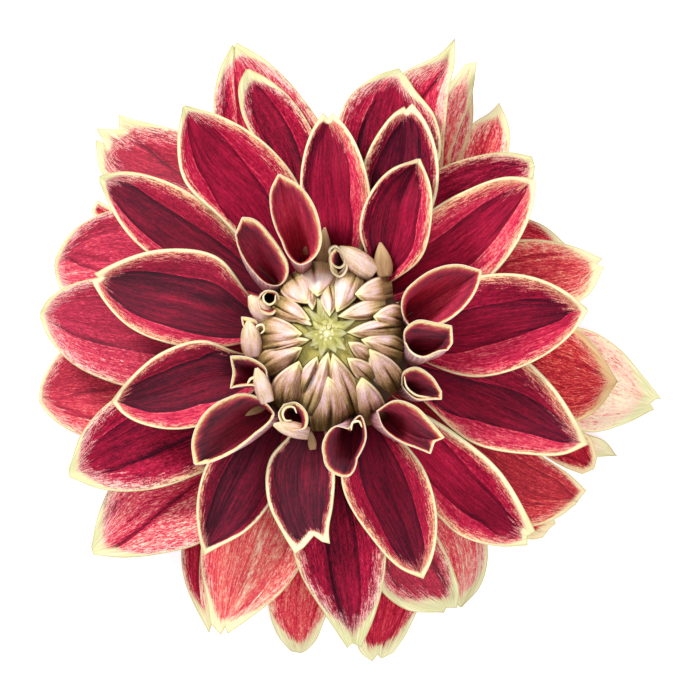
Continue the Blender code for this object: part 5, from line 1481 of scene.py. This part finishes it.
piece = Piece("centre_buds", "central_florets")
for bud in BUDS:
    seed += 1
    piece.add(*bud_grid(*bud, seed))
piece.build(buds_look)

# Curled lips inside the rolled petals: rolled petal, plan points, depth below its rim, half width.
CURLS = [
    ("B1", [(331, 261), (334, 266), (340, 268), (344, 265), (344, 258)], 0.4, 0.26),
    ("B1", [(330, 266), (333, 273), (340, 277), (346, 271), (347, 264)], 0.1, 0.28),
    ("B1", [(330, 257), (330, 250), (335, 247), (341, 251)], 0.1, 0.30),
    ("B2", [(276, 295), (275, 302), (270, 305), (265, 302), (264, 296), (268, 292)], 0.2, 0.24),
    ("B3", [(255, 331), (258, 326), (263, 325), (265, 330), (261, 334)], 0.3, 0.26),
    ("B4", [(263, 371), (258, 376), (251, 379), (248, 384)], 0.4, 0.30),
    ("B5", [(297, 413), (294, 407), (287, 407), (283, 413), (286, 420), (292, 420)], 0.2, 0.26),
    ("B6", [(351, 430), (353, 422), (359, 421), (362, 427)], 0.3, 0.26),
    ("B9", [(405, 342), (409, 350), (417, 356), (428, 357), (438, 353)], 0.6, 0.24),
    ("B8", [(404, 376), (406, 386), (414, 394), (426, 397), (437, 398)], 0.5, 0.24),
]
# Folded flaps of the rolled petals: rolled petal, root, tip, half width, depth below its rim.
FLAPS = [("B5", (309, 433), (274, 424), 1.5, 0.3), ("B2", (270, 322), (250, 296), 1.9, 0.6),
         ("B4", (268, 402), (257, 368), 1.6, 0.3), ("B3", (254, 357), (249, 321), 2.0, 0.2),
         ("B1", (374, 274), (339, 248), 2.2, 0.5)]
RIMS = {horn.name: horn.heights[1] + horn.lift for horn in HORNS}
piece = Piece("curled_lips", "ray_florets")
for name, root, tip, half, depth in FLAPS:
    seed += 1
    top = RIMS[name] - depth
    points, faces, values = leaf_grid((*plan_mm(root), top - 3.0), (*plan_mm(tip), top),
                                      [half * k for k in (0.8, 1.0, 1.0, 0.75, 0.15)], 0.5, 0.3,
                                      0.74, 0.4, seed, 22, 17, 0.8, 0.25)
    values["pink"] = np.full(len(points), 0.9)
    piece.add(points, faces, values)
for name, points, depth, half in CURLS:
    seed += 1
    piece.add(*cord_grid(points, RIMS[name] - depth, half, seed))
piece.build(buds_look)

piece = Piece("apex_tip", "apex_florets")
tip_middle = plan_mm((APEX_X, APEX_Y))
button = [(3.0, DOME_TOP - 4.0), (APEX_RADIUS - 0.4, DOME_TOP - 3.0),
          (APEX_RADIUS - 0.2, DOME_TOP - 1.2), (APEX_RADIUS - 0.6, DOME_TOP - 0.6),
          (3.0, DOME_TOP - 0.25), (1.6, DOME_TOP - 0.1)]
piece.add(*turned_grid(button, tip_middle, 36, 0.30, 0.0))
for place in APEX_FLORETS:
    seed += 1
    end = plan_mm(place)
    start = tip_middle + 0.12 * (end - tip_middle)
    piece.add(*leaf_grid((*start, DOME_TOP - 0.1), (*end, float(dome_height(end)) + 0.9),
                         [0.8, 1.25, 1.15, 0.6, 0.03], 0.30, 0.15, 0.30, 0.35, seed, 14, 11,
                         0.25, 0.25))
RINGS = ((11, 3.3, 1.7, 0.75, 0.25), (9, 2.3, 0.9, 0.6, 0.55), (6, 1.3, 0.0, 0.55, 1.0))
for count, outer, inner, half, yellow in RINGS:
    for k in range(count):
        seed += 1
        angle = 2 * math.pi * (k + 0.5 * (count % 2)) / count + 0.25 * math.sin(seed * 5.3)
        ray = np.array((math.cos(angle), math.sin(angle)))
        grow = 1 + 0.15 * math.sin(seed * 3.1)
        piece.add(*leaf_grid((*(tip_middle + ray * outer * grow), DOME_TOP - 0.1),
                             (*(tip_middle + ray * inner), DOME_TOP + 0.45),
                             [half * w for w in (0.6, 1, 0.9, 0.6, 0.1)], 0.5, 0.12, 0.55,
                             yellow, seed, 9, 7, 0.1, 0.2))
piece.build(green_tip)

piece = Piece("green_calyx", "green_base")
stem = [(STEM_RADIUS - 0.4, REST_HEIGHT + 0.02), (STEM_RADIUS, REST_HEIGHT + 0.4),
        (STEM_RADIUS - 0.05, -10.0), (STEM_RADIUS, -8.6), (3.3, -7.6), (4.5, -6.6), (6.8, -5.6),
        (CALYX_RADIUS - 0.2, -4.6), (CALYX_RADIUS, -3.8), (CALYX_RADIUS - 0.1, CALYX_TOP)]
piece.add(*turned_grid(stem, (0.0, 0.0), 48, 0.55, 0.2, (10, 0.02)))
# Each ring of bracts: count, turn, start, reach, heights, half widths, bend, thickness, tone.
BRACTS = ((OUTER_BRACTS, 0.25, 4.0, 21.0, (-5.3, -10.6), (2.5, 2.2, 3.5, 2.4, 0.5), -0.6, 0.7,
           0.45),
          (INNER_BRACTS, 0.0, 6.0, 17.5, (-3.6, -3.6), (2.9, 3.2, 4.1, 2.6, 0.6), -0.3, 0.5, 0.7))
for count, turn, start, reach, heights, widths, bend, thickness, tone in BRACTS:
    for k in range(count):
        seed += 1
        angle = 2 * math.pi * (k + turn) / count
        ray = np.array((math.cos(angle), math.sin(angle)))
        piece.add(*leaf_grid((*(ray * start), heights[0]), (*(ray * reach), heights[1]), widths,
                             -0.10, thickness, tone, 0.4, seed, 22, 15, bend, 0.05))
piece.build(green_leaf)

# ---- floor, light and camera -----------------------------------------------------------------------
FLOOR_SIZE = 6.0           # m
WORLD_STRENGTH = 0.68
bpy.ops.mesh.primitive_plane_add(size=FLOOR_SIZE, location=(0, 0, 0))
floor = bpy.context.object
floor.name = "floor"
floor.data.materials.append(floor_material())

world = bpy.data.worlds.new("studio")
bpy.context.scene.world = world
world.use_nodes = True
world.node_tree.nodes["Background"].inputs["Color"].default_value = (1, 1, 1, 1)
world.node_tree.nodes["Background"].inputs["Strength"].default_value = WORLD_STRENGTH


def area_light(name, place, size, power):
    """A square soft light that shines on the bloom."""
    light = bpy.data.lights.new(name, "AREA")
    light.size = size
    light.energy = power
    item = bpy.data.objects.new(name, light)
    item.location = place
    item.rotation_euler = (Vector((0, 0, 0.02)) - Vector(place)).to_track_quat("-Z", "Y").to_euler()
    bpy.context.scene.collection.objects.link(item)


area_light("key", (-0.45, 0.55, 0.60), 0.22, 6.4)
area_light("fill", (0.45, -0.50, 0.55), 0.45, 2.6)

CAMERA_HEIGHT = 4.0
FRAME_WIDTH = 0.140
FRAME_LEVEL = 0.010        # height at which the frame is FRAME_WIDTH wide
FRAME_X, FRAME_Y = 350.0, 350.0    # its middle, in steps of the plan
SENSOR_WIDTH = 36.0
lens = bpy.data.cameras.new("camera")
lens.sensor_width = SENSOR_WIDTH
lens.lens = SENSOR_WIDTH * (CAMERA_HEIGHT - FRAME_LEVEL) / FRAME_WIDTH
lens.clip_end = 50.0
camera = bpy.data.objects.new("camera", lens)
camera.location = (*((plan_mm((FRAME_X, FRAME_Y)) - ORIGIN[:2]) * MM), CAMERA_HEIGHT)
bpy.context.scene.collection.objects.link(camera)
bpy.context.scene.camera = camera
bpy.context.scene.view_settings.view_transform = "Standard"

bpy.context.view_layer.update()
